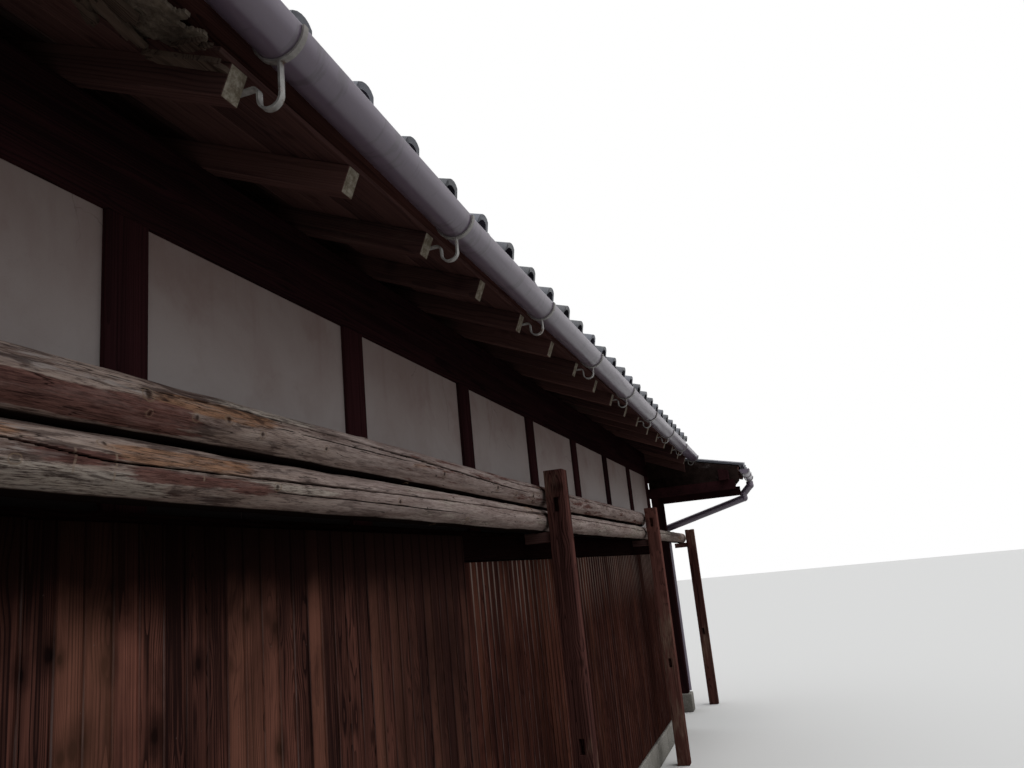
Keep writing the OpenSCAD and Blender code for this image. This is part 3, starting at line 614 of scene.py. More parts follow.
@kept
def cladding(finish, dark, light, worn_and_highlit, shadow, glint, knots=(), fade=(0.0, 1.0, 0.0)):
    """Ribbed board: grain and tone change from board to board, and the near flank of each rib is rubbed
    bare and also carries a painted highlight.

    shadow is how dark the painted shadow of the logs makes the top, glint how pale the painted highlight on
    the ribs near the top is. The last argument holds two places along X and the share of painted shade at
    the second, so the boards darken towards the far end of the wall."""
    grain = finish.grain(finish.along("Z"), Dark=dark, Light=light, Rings=42.0, Knots=0.85, Contrast=1.75,
        Shade=0.24)
    finish.color = grain["Color"]
    if knots:
        flat = stretched(finish.place, (1.0, 0.0, KNOT_SQUASH))
        ragged = cloud(stretched(finish.place, (60.0, 0.0, 30.0)), 1.0, 3.0)
        far = nearest_knot(flat, [((x, 0.0, z * KNOT_SQUASH), radius) for x, z, radius in knots])
        far = far + ragged * 1.1
        halo = stepped(far, 5.0, 1.2)
        finish.tint(halo * 0.8, dimmed(dark, 0.6))
        finish.tint(stepped(far, 1.9, 1.1), (0.005, 0.003, 0.003))
    wear = finish.attribute("wear")
    chip = cloud(stretched(finish.place, (160.0, 160.0, 5.0)), 1.0, 4.0, 0.65)
    chips = stepped(chip, 0.38, 0.6)
    faded = patches(finish.place, 1.0, 0.38, 0.62, (9.0, 9.0, 1.6))
    # Rubbed bare wood on the near flank of each rib, which also serves as a painted highlight
    edge = stepped(wear, 0.55, 0.95) * chips * stepped(faded, 0.0, 1.0, 0.25, 0.9)
    finish.tint(edge, worn_and_highlit)
    hue = stepped(finish.attribute("tone"), -0.2, 0.9) * 0.35
    finish.tint(hue, tuple(c * k for c, k in zip(light, (1.0, 1.15, 1.0))))
    deep = stepped(wear, 0.0, -0.9)
    finish.tint(deep * 0.8, (0.006, 0.004, 0.004))
    spots = stepped(cloud(finish.place, 85.0, 2.0, 0.5), 0.74, 0.78)
    finish.tint(spots * 0.5, worn_and_highlit)
    shade = patches(finish.place, 2.2, 0.36, 0.66, (1.0, 1.0, 0.45))
    finish.tint(shade * 0.62, dark)
    smudge = patches(finish.place, 9.0, 0.5, 0.68, (1.0, 1.0, 0.5))
    finish.tint(smudge * 0.45, dimmed(dark, 0.7))
    height_up = finish.z
    cloudy = cloud(finish.place, 5.0, 3.0) * 0.12
    # Painted shadow of the logs: the top of the boards goes dark
    top = stepped(height_up + cloudy, 1.5, 1.69)
    finish.tint(top * shadow, dimmed(dark, 0.18))
    # Painted shade: the boards darken along X towards the far end of the wall
    finish.tint(stepped(finish.x, fade[0], fade[1], 0.0, fade[2]), dark)
    # Painted highlight: pale glints on the raised ribs near the top of the boards
    raised = stepped(wear, 0.1, 0.5) * stepped(height_up, 1.2, 1.6)
    uneven = patches(finish.place, 1.0, 0.3, 0.56, (5.0, 5.0, 1.0))
    raised = raised * uneven
    finish.tint(raised * glint, (0.3, 0.225, 0.19))
    rough = stepped(chip, 0.2, 0.8, 0.5, 0.75)
    return finish.set(rough, height=grain["Height"], depth=0.0007, specular=0.0)


@kept
def log_wood(finish):
    """Peeled wood: grey fibres with pale, orange and smooth patches, painted shade under and between the
    logs, knots and open checks.
    """
    wood = sizes("wood")
    grain_at = finish.along("X")
    long_at = stretched(grain_at, (1.0, 1.0, 0.07))
    fibre = cloud(long_at, 300.0, 5.0, 0.74)
    strand = cloud(long_at, 48.0, 4.0, 0.6)
    ragged = cloud(stretched(grain_at, (52.0, 52.0, 5.0)), 1.0, 5.0, 0.68)

    def area(name, low=0.3, high=0.62, reach=1.5):
        """A patch set on the log's points, given a ragged edge."""
        value = finish.attribute(name) + (ragged - 0.5) * reach
        return stepped(value, low, high)

    far_part = stepped(finish.x, house_x(1.05), house_x(2.0))
    mottle = strand * 0.55 + fibre * 0.45
    finish.color = mixed(stepped(mottle, 0.34, 0.66), wood.log_dark, wood.log_light)
    plain = mixed(stepped(mottle, 0.3, 0.7), (0.27, 0.19, 0.165), (0.62, 0.505, 0.465))
    finish.tint(far_part * 0.85, plain)
    striped = mixed(stepped(fibre, 0.36, 0.6), (0.2, 0.155, 0.13), (0.64, 0.555, 0.475))
    near_part = 1.0 - far_part * 0.7
    finish.tint(area("pale") * 0.85, striped)
    orange = mixed(stepped(fibre, 0.34, 0.66), dimmed(wood.log_orange, 0.45), dimmed(wood.log_orange, 1.5))
    finish.tint(area("orange") * 0.8, orange)
    skin = area("skin", 0.42, 0.72, 2.2)
    smooth = mixed(stepped(fibre, 0.3, 0.7), (0.085, 0.037, 0.032), (0.27, 0.125, 0.103))
    finish.tint(skin * 0.92, smooth)
    near_part = near_part * stepped(skin, 0.0, 1.0, 1.0, 0.45)
    scale = patches(grain_at, 1.0, 0.5, 0.62, (75.0, 75.0, 9.0)) * stepped(area("scale"), 0.0, 1.0, 0.22,
        0.75)
    finish.tint(scale * near_part, (0.46, 0.4, 0.37))
    dirt = stepped(fibre, 0.44, 0.34) * near_part
    finish.tint(dirt * 0.75, (0.026, 0.016, 0.014))
    blot = patches(grain_at, 1.0, 0.5, 0.6, (48.0, 48.0, 7.0)) * near_part
    finish.tint(blot * 0.7, (0.045, 0.026, 0.024))
    line = abs(cloud(long_at, 34.0, 3.0, 0.6) - 0.5)
    hair = stepped(line, 0.012, 0.003) * stepped(ragged, 0.42, 0.6)
    finish.tint(hair * 0.85, (0.012, 0.008, 0.007))
    # Painted shade under the logs and where the upper log lies on the lower
    finish.tint(area("soot_and_painted_shade", 0.35, 0.75, 0.5), (0.014, 0.009, 0.008))
    along, up = finish.x, finish.z
    wavy = along + strand * 0.006
    for x, z, half in LOG_TIES:
        spot = house(x, 0, z)
        off = abs(wavy - (spot.x + 0.003))
        high = abs(up - spot.z)
        tie = stepped(off, 0.004, 0.0012) * stepped(high, half, half * 0.7)
        tie = tie * stepped(ragged, 0.38, 0.52)
        finish.tint(tie * 0.6, (0.4, 0.3, 0.22))
    knot = finish.attribute("tone")
    finish.tint(stepped(knot, 0.12, 0.75, 0.0, 0.85), (0.03, 0.014, 0.009))
    ring = stepped(knot, 0.02, 0.08) * stepped(knot, 0.2, 0.11)
    finish.tint(ring * 0.6, (0.3, 0.21, 0.14))
    finish.tint(stepped(finish.attribute("wear"), 0.08, 0.6), (0.006, 0.004, 0.0035))
    height = fibre * 0.6 + strand * 0.5 - skin * 0.25
    return finish.set(stepped(fibre, 0.2, 0.8, 0.62, 0.9), height=height, depth=0.0028, specular=0.0)


@kept
def tile_clay(finish):
    """Smoked clay, each tile with its own tone, with lichen and sooty patches."""
    roof = sizes("roof")
    tone = finish.attribute("tone")
    soft = cloud(finish.place, 14.0, 5.0, 0.6)
    lightness = tone * 0.32 + soft
    finish.color = mixed(stepped(lightness, 0.15, 0.95), roof.tile_dark, roof.tile_light)
    lichen = patches(finish.place, 26.0, 0.6, 0.66) * patches(finish.place, 1.6, 0.45, 0.65)
    finish.tint(lichen * 0.6, (0.24, 0.25, 0.2))
    # Sooty patches: dirt of the smoked tiles themselves
    soot_and_painted_shade = patches(finish.place, 6.0, 0.52, 0.7)
    finish.tint(soot_and_painted_shade * 0.5, (0.022, 0.022, 0.024))
    grit = cloud(finish.place, 380.0, 3.0, 0.7)
    rough = stepped(soft, 0.3, 0.8, 0.38, 0.62)
    height = grit * 0.3 + soft * 0.8
    return finish.set(rough, height=height, depth=0.0008, specular=0.5)


@kept
def gutter_paint(finish):
    """Glossy paint with dust, dark runs and pale specks."""
    metal = sizes("metal")
    dust = patches(finish.place, 1.0, 0.44, 0.72, (2.2, 30.0, 30.0))
    runs = patches(finish.place, 1.0, 0.52, 0.66, (28.0, 5.0, 5.0))
    finish.color = mixed(dust * 0.3, metal.gutter, (0.15, 0.118, 0.13))
    finish.tint(runs * 0.35, (0.028, 0.02, 0.022))
    speck = stepped(cloud(finish.place, 240.0, 2.0, 0.6), 0.68, 0.74)
    finish.tint(speck * 0.3, (0.21, 0.18, 0.16))
    rough = dust * 0.12 + 0.3
    fine = cloud(finish.place, 60.0, 4.0, 0.6)
    return finish.set(rough, height=fine, depth=0.0003, specular=0.8)


@kept
def zinc_coat(finish):
    """Dull zinc with rust, and with grime at the top."""
    metal = sizes("metal")
    spangle = cloud(finish.place, 70.0, 4.0, 0.6)
    finish.color = mixed(stepped(spangle, 0.3, 0.7), dimmed(metal.zinc, 0.62), metal.zinc)
    rust = patches(finish.place, 34.0, 0.58, 0.68)
    finish.tint(rust * 0.75, (0.13, 0.062, 0.032))
    grime = stepped(finish.z, 2.5, 2.6)
    finish.tint(grime * 0.45, (0.11, 0.075, 0.062))
    return finish.set(stepped(spangle, 0.3, 0.8, 0.42, 0.68), metallic=0.25, height=spangle, depth=0.0004,
        specular=0.5)


@kept
def granite(finish):
    """Rough split stone with some moss."""
    coarse = cloud(finish.place, 130.0, 4.0, 0.75)
    wide = cloud(finish.place, 5.0, 5.0, 0.6)
    finish.color = mixed(stepped(coarse, 0.35, 0.65), (0.14, 0.13, 0.115), (0.42, 0.395, 0.35))
    finish.tint(stepped(wide, 0.45, 0.7, 0.0, 0.55), (0.11, 0.1, 0.075))
    moss = patches(finish.place, 9.0, 0.56, 0.7)
    finish.tint(moss * 0.35, (0.075, 0.085, 0.045))
    height = coarse + wide * 2.0
    return finish.set(0.85, height=height, depth=0.003, specular=0.3)


@kept
def roof_clay(finish):
    """Lumpy clay with straw in it."""
    lump = cloud(finish.place, 28.0, 6.0, 0.65)
    straw = cloud(stretched(finish.place, (40.0, 260.0, 260.0)), 1.0, 3.0, 0.6)
    finish.color = mixed(stepped(lump, 0.3, 0.7), (0.06, 0.044, 0.034), (0.24, 0.195, 0.15))
    finish.tint(stepped(straw, 0.62, 0.7, 0.0, 0.6), (0.34, 0.28, 0.2))
    height = lump * 2.0 + straw
    return finish.set(0.92, height=height, depth=0.006, specular=0.15)


# Cladding
def ribbed_sheet(mesh, x0, x1, z0, z1, outer, inward, chance, old):
    """A ribbed face from x0 to x1: flat boards a rib pitch wide with a narrow rib between each two."""
    walls = sizes("walls")
    half_rib = walls.rib_width / 2
    shoulder = half_rib + walls.rib_height / 3
    tone_key = mesh.verts.layers.float["tone"]
    wear_key = mesh.verts.layers.float["wear"]
    count = max(1, round((x1 - x0) / walls.rib_pitch))
    pitch = (x1 - x0) / count
    pan_y = outer + inward * walls.rib_height
    verts = []

    def point(x, y, tone, wear):
        vert = mesh.verts.new((x, y, z0))
        vert[tone_key] = tone
        vert[wear_key] = wear
        verts.append(vert)

    tone = chance.uniform(-1, 1)
    for n in range(count):
        left = x0 + n * pitch
        belly = chance.uniform(0.0004, 0.0012)
        rib = left + pitch - shoulder
        point(left + 0.0005, pan_y, tone, -0.9)
        point(left + 0.0035, pan_y - inward * belly * 0.4, tone, 0.0)
        point(left + pitch * 0.42, pan_y - inward * belly, tone, 0.0)
        point(rib - shoulder, pan_y, tone, 0.0)
        point(rib - half_rib - 0.0004, outer + inward * 0.001, tone, 0.9)
        point(rib - half_rib + 0.0004, outer, tone, 1.0)
        tone = chance.uniform(-1, 1) * (1.0 if old else 0.6)
        point(rib + half_rib - 0.0004, outer, tone, 0.45)
        point(rib + half_rib + 0.0004, outer + inward * 0.001, tone, 0.0)
        point(left + pitch - 0.0005, pan_y, tone, -0.9)
    edges = [mesh.edges.new((a, b)) for a, b in zip(verts, verts[1:])]
    faces = drawn_out(mesh, edges, (0, 0, z1 - z0))[1]
    thickened(mesh, faces, 0.004, (0, -inward, 0))


def clad_wall(name, node, material, inward, seams, seed, old=True):
    """The ribbed boards of one wall, in lengths that meet at the seams, on a plain backing."""
    low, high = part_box(node)
    outer = low.y if inward > 0 else high.y
    chance = random.Random(seed)
    mesh = fresh()
    shortest = 0.2
    stops = [low.x] + [s for s in seams if low.x + shortest < s < high.x - shortest] + [high.x]
    for n, (x0, x1) in enumerate(zip(stops, stops[1:])):
        set_back = 0.0012 if n % 2 else 0.0
        gap = 0.0035 if n + 1 < len(stops) - 1 else 0.0
        ribbed_sheet(mesh, x0, x1 - gap, low.z, high.z - chance.uniform(0, 0.004),
            outer + inward * set_back, inward, chance, old)
    backing = high.y if inward > 0 else low.y
    front = outer + inward * (sizes("walls").rib_height + 0.005)
    verts = add_block(mesh, (low.x, min(front, backing), low.z),
        (high.x, max(front, backing), high.z - 0.006))
    set_tone(mesh, verts, -0.9, "wear")
    return finished(name, mesh, material, [node], smooth=25, recalculate=False)


# Tiles
def pan_tile(mesh, width, length, roll, thick, tone, place, eave=False):
    """One S-shaped tile: a shallow pan and a boxy roll, with its lower front end at the origin."""
    pan_share, pan_rise = 0.62, 0.008
    points = []
    for n in range(5):
        u = pan_share * n / 4
        points.append((u * width, pan_rise * (2 * u / pan_share - 1) ** 2))
    for n in range(1, 8):
        u = n / 7
        points.append(((pan_share + (1 - pan_share) * u) * width,
            pan_rise + (roll - pan_rise) * max(0.0, math.sin(math.pi * u)) ** 0.35))
    front = [mesh.verts.new((x, 0, z)) for x, z in points]
    edges = [mesh.edges.new((a, b)) for a, b in zip(front, front[1:])]
    faces = drawn_out(mesh, edges, (0, length, 0))[1]
    if eave:
        lip, lip_faces = drawn_out(mesh, edges[:4], (0, 0, 0))
        low, arch = -0.05, 0.012
        for vert in lip:
            vert.co.z = low + arch * math.sin(math.pi * min(1.0, vert.co.x / (pan_share * width)))
        faces += lip_faces
    verts = thickened(mesh, faces, thick, (0, 0, 1))
    bmesh.ops.translate(mesh, vec=(0, 0, thick), verts=verts)
    set_tone(mesh, verts, tone)
    bmesh.ops.transform(mesh, matrix=place, verts=verts)
    return verts


def tiled_slope(name, node, bed, x0, x1, length, lowest, seed):
    """Courses of tiles on a slope. bed is the slope's matrix, lowest the place of the eave edge."""
    roof = sizes("roof")
    chance = random.Random(seed)
    mesh = fresh()
    count = round((x1 - x0) / roof.tile_width)
    width = (x1 - x0) / count
    courses = round(length / roof.tile_course)
    course = length / courses
    tilt = math.atan(roof.tile_thick / course)
    overlap = 0.05
    for row in range(courses):
        reach = course + (overlap if row + 1 < courses else 0.0)
        for column in range(count):
            turn = Matrix.Rotation(-tilt + chance.uniform(-0.004, 0.004), 4, "X")
            slip = Matrix.Translation((x0 + column * width + chance.uniform(-0.0015, 0.0015),
                lowest + row * course + chance.uniform(0.0, 0.006), chance.uniform(-0.001, 0.0015)))
            pan_tile(mesh, width * 0.995, reach, roof.tile_roll, roof.tile_thick, chance.uniform(-1, 1),
                bed @ slip @ turn, eave=row == 0)
    return finished(name, mesh, tile_clay("Smoked Tile"), [node], smooth=40)


# Logs
def eased(value, low, high):
    """0 at low, 1 at high, with soft ends."""
    share = min(1.0, max(0.0, (value - low) / (high - low)))
    return share * share * (3 - 2 * share)


def patch_share(x, turn, areas):
    """How far a point lies inside one of some patches, each a range along the log and a range of turn."""
    best = 0.0
    for left, right, low, high in areas:
        inside = eased(x, left - 0.1, left + 0.1) * (1 - eased(x, right - 0.1, right + 0.1))
        inside *= eased(turn, low - 12, low + 12) * (1 - eased(turn, high - 12, high + 12))
        best = max(best, inside)
    return best


def check_turn(path, x):
    """The turn of a drying check at x, along its path, or nothing past its ends."""
    for (x0, turn0), (x1, turn1) in zip(path, path[1:]):
        if x0 <= x <= x1:
            return turn0 + (turn1 - turn0) * (x - x0) / (x1 - x0)
    return None


def knotted(grown, knots, place, turn, radius):
    """Lifts the wood round the knots, and gives how dark they make a point."""
    mark = 0.0
    for knot_x, knot_turn, size in knots:
        if abs(place - knot_x) < 4 * size:
            gap = math.radians((turn - knot_turn + 180) % 360 - 180)
            far = math.hypot(place - knot_x, gap * radius) / size
            if far < 3:
                grown += 0.0028 * math.exp(-(far / 1.5) ** 2) - 0.0022 * math.exp(-(far / 0.5) ** 2)
                mark = max(mark, math.exp(-(far / 0.8) ** 2))
    return grown, mark


def split(grown, checks, x, place, turn, radius):
    """Cuts the drying checks into the wood, and gives how far a point lies in one."""
    open_here = 0.0
    for path, depth, width in checks:
        middle = check_turn(path, place)
        if middle is not None:
            ease = min(1.0, (place - path[0][0]) / 0.25, (path[-1][0] - place) / 0.35)
            middle += 1.6 * noise.noise(Vector((x * 9, depth * 500, 3)))
            gap = abs(math.radians((turn - middle + 180) % 360 - 180)) * radius
            wide = width * ease * (0.7 + 0.6 * noise.noise(Vector((x * 3, depth * 900, 7)))) + 0.0004
            if gap < wide * 2:
                cut = max(0.0, 1 - gap / wide)
                grown -= depth * ease * cut ** 0.7
                open_here = max(open_here, min(1.0, cut * 1.6))
    return grown, open_here


def peeled_log(name, node, seed, x0, x1, axis_z, radius, bend, marks):
    """A long peeled log: uneven girth, knots, drying checks, patches of colour and sawn ends.

    Turns are in degrees: 0 faces the alley, 90 is the top. The marks' places run from the near end post."""
    around, along, more_knots = 140, 600, 40
    chance = random.Random(seed)
    low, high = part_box(node)
    centre_y = (low.y + high.y) / 2
    mesh = fresh()
    layers = {key: mesh.verts.layers.float.new(key) for key in ("pale", "orange", "skin", "scale", "soot_and_painted_shade")}
    layers["tone"] = mesh.verts.layers.float["tone"]
    layers["wear"] = mesh.verts.layers.float["wear"]
    bmesh.ops.create_grid(mesh, x_segments=along, y_segments=around, size=0.5)
    knots = list(marks["knots"])
    knots += [(chance.uniform(1.7, x1 - NEAR_POST_X), chance.uniform(-180, 180),
        chance.uniform(0.006, 0.013)) for _ in range(more_knots)]
    drift = Vector((chance.uniform(0, 50), chance.uniform(0, 50), chance.uniform(0, 50)))
    for vert in mesh.verts:
        share, half_turn = vert.co.x + 0.5, vert.co.y * 2
        x = x0 + (x1 - x0) * (0.35 * share + 0.65 * share ** 2)
        turn = 180 * half_turn * (0.6 + 0.4 * abs(half_turn))
        angle = math.radians(turn)
        from_post = x - NEAR_POST_X
        r = radius(x)
        flat = Vector((x * 0.9, math.cos(angle) * 0.8, math.sin(angle) * 0.8)) + drift
        fine = Vector((x * 7, math.cos(angle) * 2.2, math.sin(angle) * 2.2)) + drift
        grown = 0.0045 * noise.noise(flat) + 0.0022 * noise.noise(fine)
        drawn = noise.noise(Vector((x * 3.1, math.cos(angle) * 1.6, math.sin(angle) * 1.6)) - drift)
        grown -= 0.003 * max(0.0, drawn - 0.25) * 2
        grown, vert[layers["tone"]] = knotted(grown, knots, from_post, turn, r)
        grown, vert[layers["wear"]] = split(grown, marks["checks"], x, from_post, turn, r)
        far_part = eased(from_post, 1.5, 2.1)
        for n, key in enumerate(("pale", "orange", "skin", "scale")):
            wild = Vector((x * 1.6, math.cos(angle) * 1.1 + n * 9, math.sin(angle) * 1.1))
            wild = noise.noise(wild + drift)
            near_part = patch_share(from_post, turn, marks.get(key, ()))
            vert[layers[key]] = (1 - far_part) * near_part + far_part * (marks["beyond"][n] + 0.7 * wild)
        # Painted shade under and between the logs, from the listed turns
        vert[layers["soot_and_painted_shade"]] = patch_share(from_post, turn, marks["soot_and_painted_shade"])
        r += grown
        dy, dz = bend(x)
        vert.co = Vector((x, centre_y + dy - r * math.cos(angle), axis_z(x) + dz + r * math.sin(angle)))
    bmesh.ops.remove_doubles(mesh, verts=mesh.verts, dist=0.00005)
    rims = [e for e in mesh.edges if e.is_boundary]
    caps = bmesh.ops.holes_fill(mesh, edges=rims, sides=0)["faces"]
    for cap in caps:
        ring = bmesh.ops.inset_individual(mesh, faces=[cap], thickness=0.004, depth=0.0)["faces"]
        for face in ring:
            for vert in face.verts:
                vert[layers["wear"]] = 0.15
    return finished(name, mesh, log_wood("Peeled Log"), [node], smooth=60)


# Operators
class TOWNHOUSE_OT_frame(bpy.types.Operator):
    """Finishes the posts, sills, plates and roof timbers"""

    bl_idname = "townhouse.frame"
    bl_label = "Frame Timber"

    def execute(self, context):
        for name, node, axis, edge, seed in (
                ("front_post_timbers", "front_posts", "Z", 0.003, 11),
                ("back_post_timbers", "back_posts", "Z", 0.003, 12),
                ("end_post_timbers", "end_posts", "Z", 0.003, 13),
                ("front_plate_timber", "front_plate", "X", 0.004, 14),
                ("back_plate_timber", "back_plate", "X", 0.004, 15)):
            softened(name, node, frame_timber(axis), edge, 2, seed)
        for node, axis in (("front_sill", "X"), ("back_sill", "X"), ("purlins", "X"), ("ridge_beam", "X"),
                           ("cross_sills", "Y"), ("tie_beams", "Y"), ("roof_struts", "Z")):
            finish_node(node, frame_timber(axis))
        return {"FINISHED"}


class TOWNHOUSE_OT_plaster(bpy.types.Operator):
    """Finishes the plastered walls"""

    bl_idname = "townhouse.plaster"
    bl_label = "Plaster"

    def execute(self, context):
        walls = sizes("walls")
        base, stain = walls.plaster, walls.stain
        finish_node("front_plaster", plaster("Front Plaster", base, stain, painted_shade_foot=True))
        finish_node("back_plaster", plaster("Back Plaster", base, stain))
        rough = plaster("Party Wall Plaster", (0.3, 0.265, 0.215), (0.17, 0.125, 0.085), 1.2)
        finish_node("party_walls", rough)
        return {"FINISHED"}


class TOWNHOUSE_OT_cladding(bpy.types.Operator):
    """Builds the ribbed cladding and finishes its battens"""

    bl_idname = "townhouse.cladding"
    bl_label = "Cladding"

    def execute(self, context):
        wood = sizes("wood")
        knots = [(*house(x, 0, z).xz, radius) for x, z, radius in BOARD_KNOTS]
        dark, light, worn_and_highlit = wood.old_dark, wood.old_light, wood.worn_and_highlit
        # Places along the wall over which painted shade deepens towards the far end, here and for the newer
        # cladding below
        far_end = (house_x(0.9), house_x(2.4), 0.62)
        front = cladding("Old Cladding", dark, light, worn_and_highlit, 0.95, 0.0, knots, far_end)
        back = cladding("Back Cladding", dark, light, worn_and_highlit, 0.3, 0.2)
        far_end = (house_x(3.4), house_x(6.5), 0.35)
        new = cladding("New Cladding", wood.new_dark, wood.new_light, worn_and_highlit, 0.3, 0.85, fade=far_end)
        turn_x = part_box("old_boards")[1].x
        seams = [turn_x + 2 * BAY * n for n in range(-2, 4)]
        clad_wall("old_cladding_boards", "old_boards", front, 1, seams, 21)
        clad_wall("new_cladding_boards", "new_boards", new, 1, seams, 22, old=False)
        clad_wall("back_cladding_boards", "back_boards", back, -1, seams, 23)
        # Near-black battens: painted shade under the lower log
        painted_shade_batten = timber("Batten Timber", (0.004, 0.0018, 0.0018), (0.018, 0.0075, 0.007), "X")
        for node in ("front_battens", "back_battens"):
            finish_node(node, painted_shade_batten)
        return {"FINISHED"}


class TOWNHOUSE_OT_rafters(bpy.types.Operator):
    """Finishes the rafters, the roof boards and the eave boards"""

    bl_idname = "townhouse.rafters"
    bl_label = "Rafters and Roof Boards"

    def execute(self, context):
        for side, behind, seed in (("front", False, 31), ("back", True, 33)):
            lie = roof_place(behind)
            out = (lie.to_3x3() @ Vector((0, -1, 0))).normalized()
            reach = max(v.co.dot(out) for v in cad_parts[side + "_rafters"].data.vertices)
            tilt = -ROOF_ANGLE if behind else ROOF_ANGLE
            wood = rafter_timber(side.title() + " Rafter Timber", "Y", tilt, end=[(tuple(out), reach)])
            softened(side + "_rafter_timbers", side + "_rafters", wood, 0.002, 1, seed)
        self.boards()
        # Near-black eave boards: painted shade at the eave, behind the gutter
        eave = timber("Eave Board Timber", (0.008, 0.0035, 0.0032), (0.05, 0.02, 0.016), "X")
        finish_node("eave_boards", eave)
        finish_node("bargeboards", rafter_timber("Bargeboard Timber", "Y"))
        finish_node("roof_bed", roof_clay("Roof Clay"))
        return {"FINISHED"}

    def boards(self):
        """Sawn boards along both slopes, with broken ones over the second rafter bay at the front."""
        chance = random.Random(34)
        low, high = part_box("roof_deck")
        mesh = fresh()
        broken_from, broken_to = house_x(0.41), house_x(0.79)
        joint = 0.0015
        for behind in (False, True):
            lie = roof_place(behind)
            spots = deck_corners(lie, behind)
            start, end = min(p.y for p in spots), max(p.y for p in spots)
            foot, top = min(p.z for p in spots), max(p.z for p in spots)
            count = round((end - start) / sizes("roof").board_width)
            width = (end - start) / count
            for n in range(count):
                y0, y1 = start + n * width + joint, start + (n + 1) * width - joint
                spans = [(low.x, high.x)]
                if not behind and n in (0, 1):
                    spans = [(low.x, broken_from + chance.uniform(-0.03, 0.08)),
                        (broken_to + chance.uniform(-0.1, 0.02), high.x)]
                for x0, x1 in spans:
                    verts = add_block(mesh, (x0, y0, foot + chance.uniform(0, 0.0015)),
                        (x1, y1, top - 0.0005), chance.uniform(-1, 1))
                    bmesh.ops.transform(mesh, matrix=lie, verts=verts)
        bevel_all(mesh, 0.0012)
        finished("roof_boards", mesh, rafter_timber("Roof Board Timber", "X"),
            ["roof_deck"])


class TOWNHOUSE_OT_decay(bpy.types.Operator):
    """Builds the lumps of clay and the broken boards at the eave, before the first hook"""

    bl_idname = "townhouse.decay"
    bl_label = "Decayed Eave"

    def execute(self, context):
        lie = roof_place()
        foot = min(p.z for p in deck_corners(lie))
        self.clay(lie, foot)
        self.shards(lie, foot)
        return {"FINISHED"}

    def clay(self, lie, foot):
        """A ragged, lumpy sheet of clay that hangs from the roof boards."""
        left, right = house_x(0.545), house_x(0.752)
        outer, inner = -0.452, -0.235
        mesh = fresh()
        bmesh.ops.create_grid(mesh, x_segments=64, y_segments=64, size=0.5)
        torn = []
        for vert in mesh.verts:
            across, up = vert.co.x + 0.5, vert.co.y + 0.5
            at = Vector((across * 3.2, up * 3.2, 4.0))
            border = min(across, 1 - across, up, 1 - up) * 4
            if border + 0.9 * noise.noise(at * 1.7) < 0.35:
                torn.append(vert)
            lump = 0.5 + 0.5 * noise.noise(at * 1.6) + 0.35 * noise.noise(at * 5.0)
            vert.co = Vector((left + (right - left) * across, outer + (inner - outer) * up,
                foot - 0.004 - 0.02 * max(0.0, lump) * min(1.0, border)))
        bmesh.ops.delete(mesh, geom=torn, context="VERTS")
        loose = [v for v in mesh.verts if not v.link_faces]
        bmesh.ops.delete(mesh, geom=loose, context="VERTS")
        faces = list(mesh.faces)
        thickened(mesh, faces, 0.008, (0, 0, -1))
        bmesh.ops.transform(mesh, matrix=lie, verts=mesh.verts)
        finished("eave_clay", mesh, roof_clay("Roof Clay"), smooth=50)

    def shards(self, lie, foot):
        """Ends of broken boards, laid askew over the clay."""
        chance = random.Random(35)
        mesh = fresh()
        for x, up, long, wide, turn, drop in BROKEN_BOARDS:
            flat = bmesh.ops.create_grid(mesh, x_segments=10, y_segments=5, size=0.5)["verts"]
            for vert in flat:
                side = 1 if vert.co.x > 0 else -1
                torn = 0.016 * noise.noise(Vector((x * 40, vert.co.y * 5, side))) * abs(vert.co.x * 2) ** 6
                lift = 0.002 * noise.noise(Vector((vert.co.x * 6, vert.co.y * 2, x * 40)))
                vert.co = Vector((vert.co.x * long + torn * 2 * side, vert.co.y * wide, lift))
            faces = list({f for v in flat for f in v.link_faces})
            verts = thickened(mesh, faces, 0.01)
            set_tone(mesh, verts, chance.uniform(-1, 1))
            place = lie @ Matrix.Translation((house_x(x), up, foot - drop))
            place = place @ Matrix.Rotation(math.radians(turn), 4, "Z")
            place = place @ Matrix.Rotation(chance.uniform(-0.06, 0.06), 4, "Y")
            bmesh.ops.transform(mesh, matrix=place, verts=verts)
        wood = timber("Broken Board Timber", (0.032, 0.021, 0.017), (0.21, 0.155, 0.12), "X", knots=0.3)
        finished("broken_boards", mesh, wood, smooth=30)


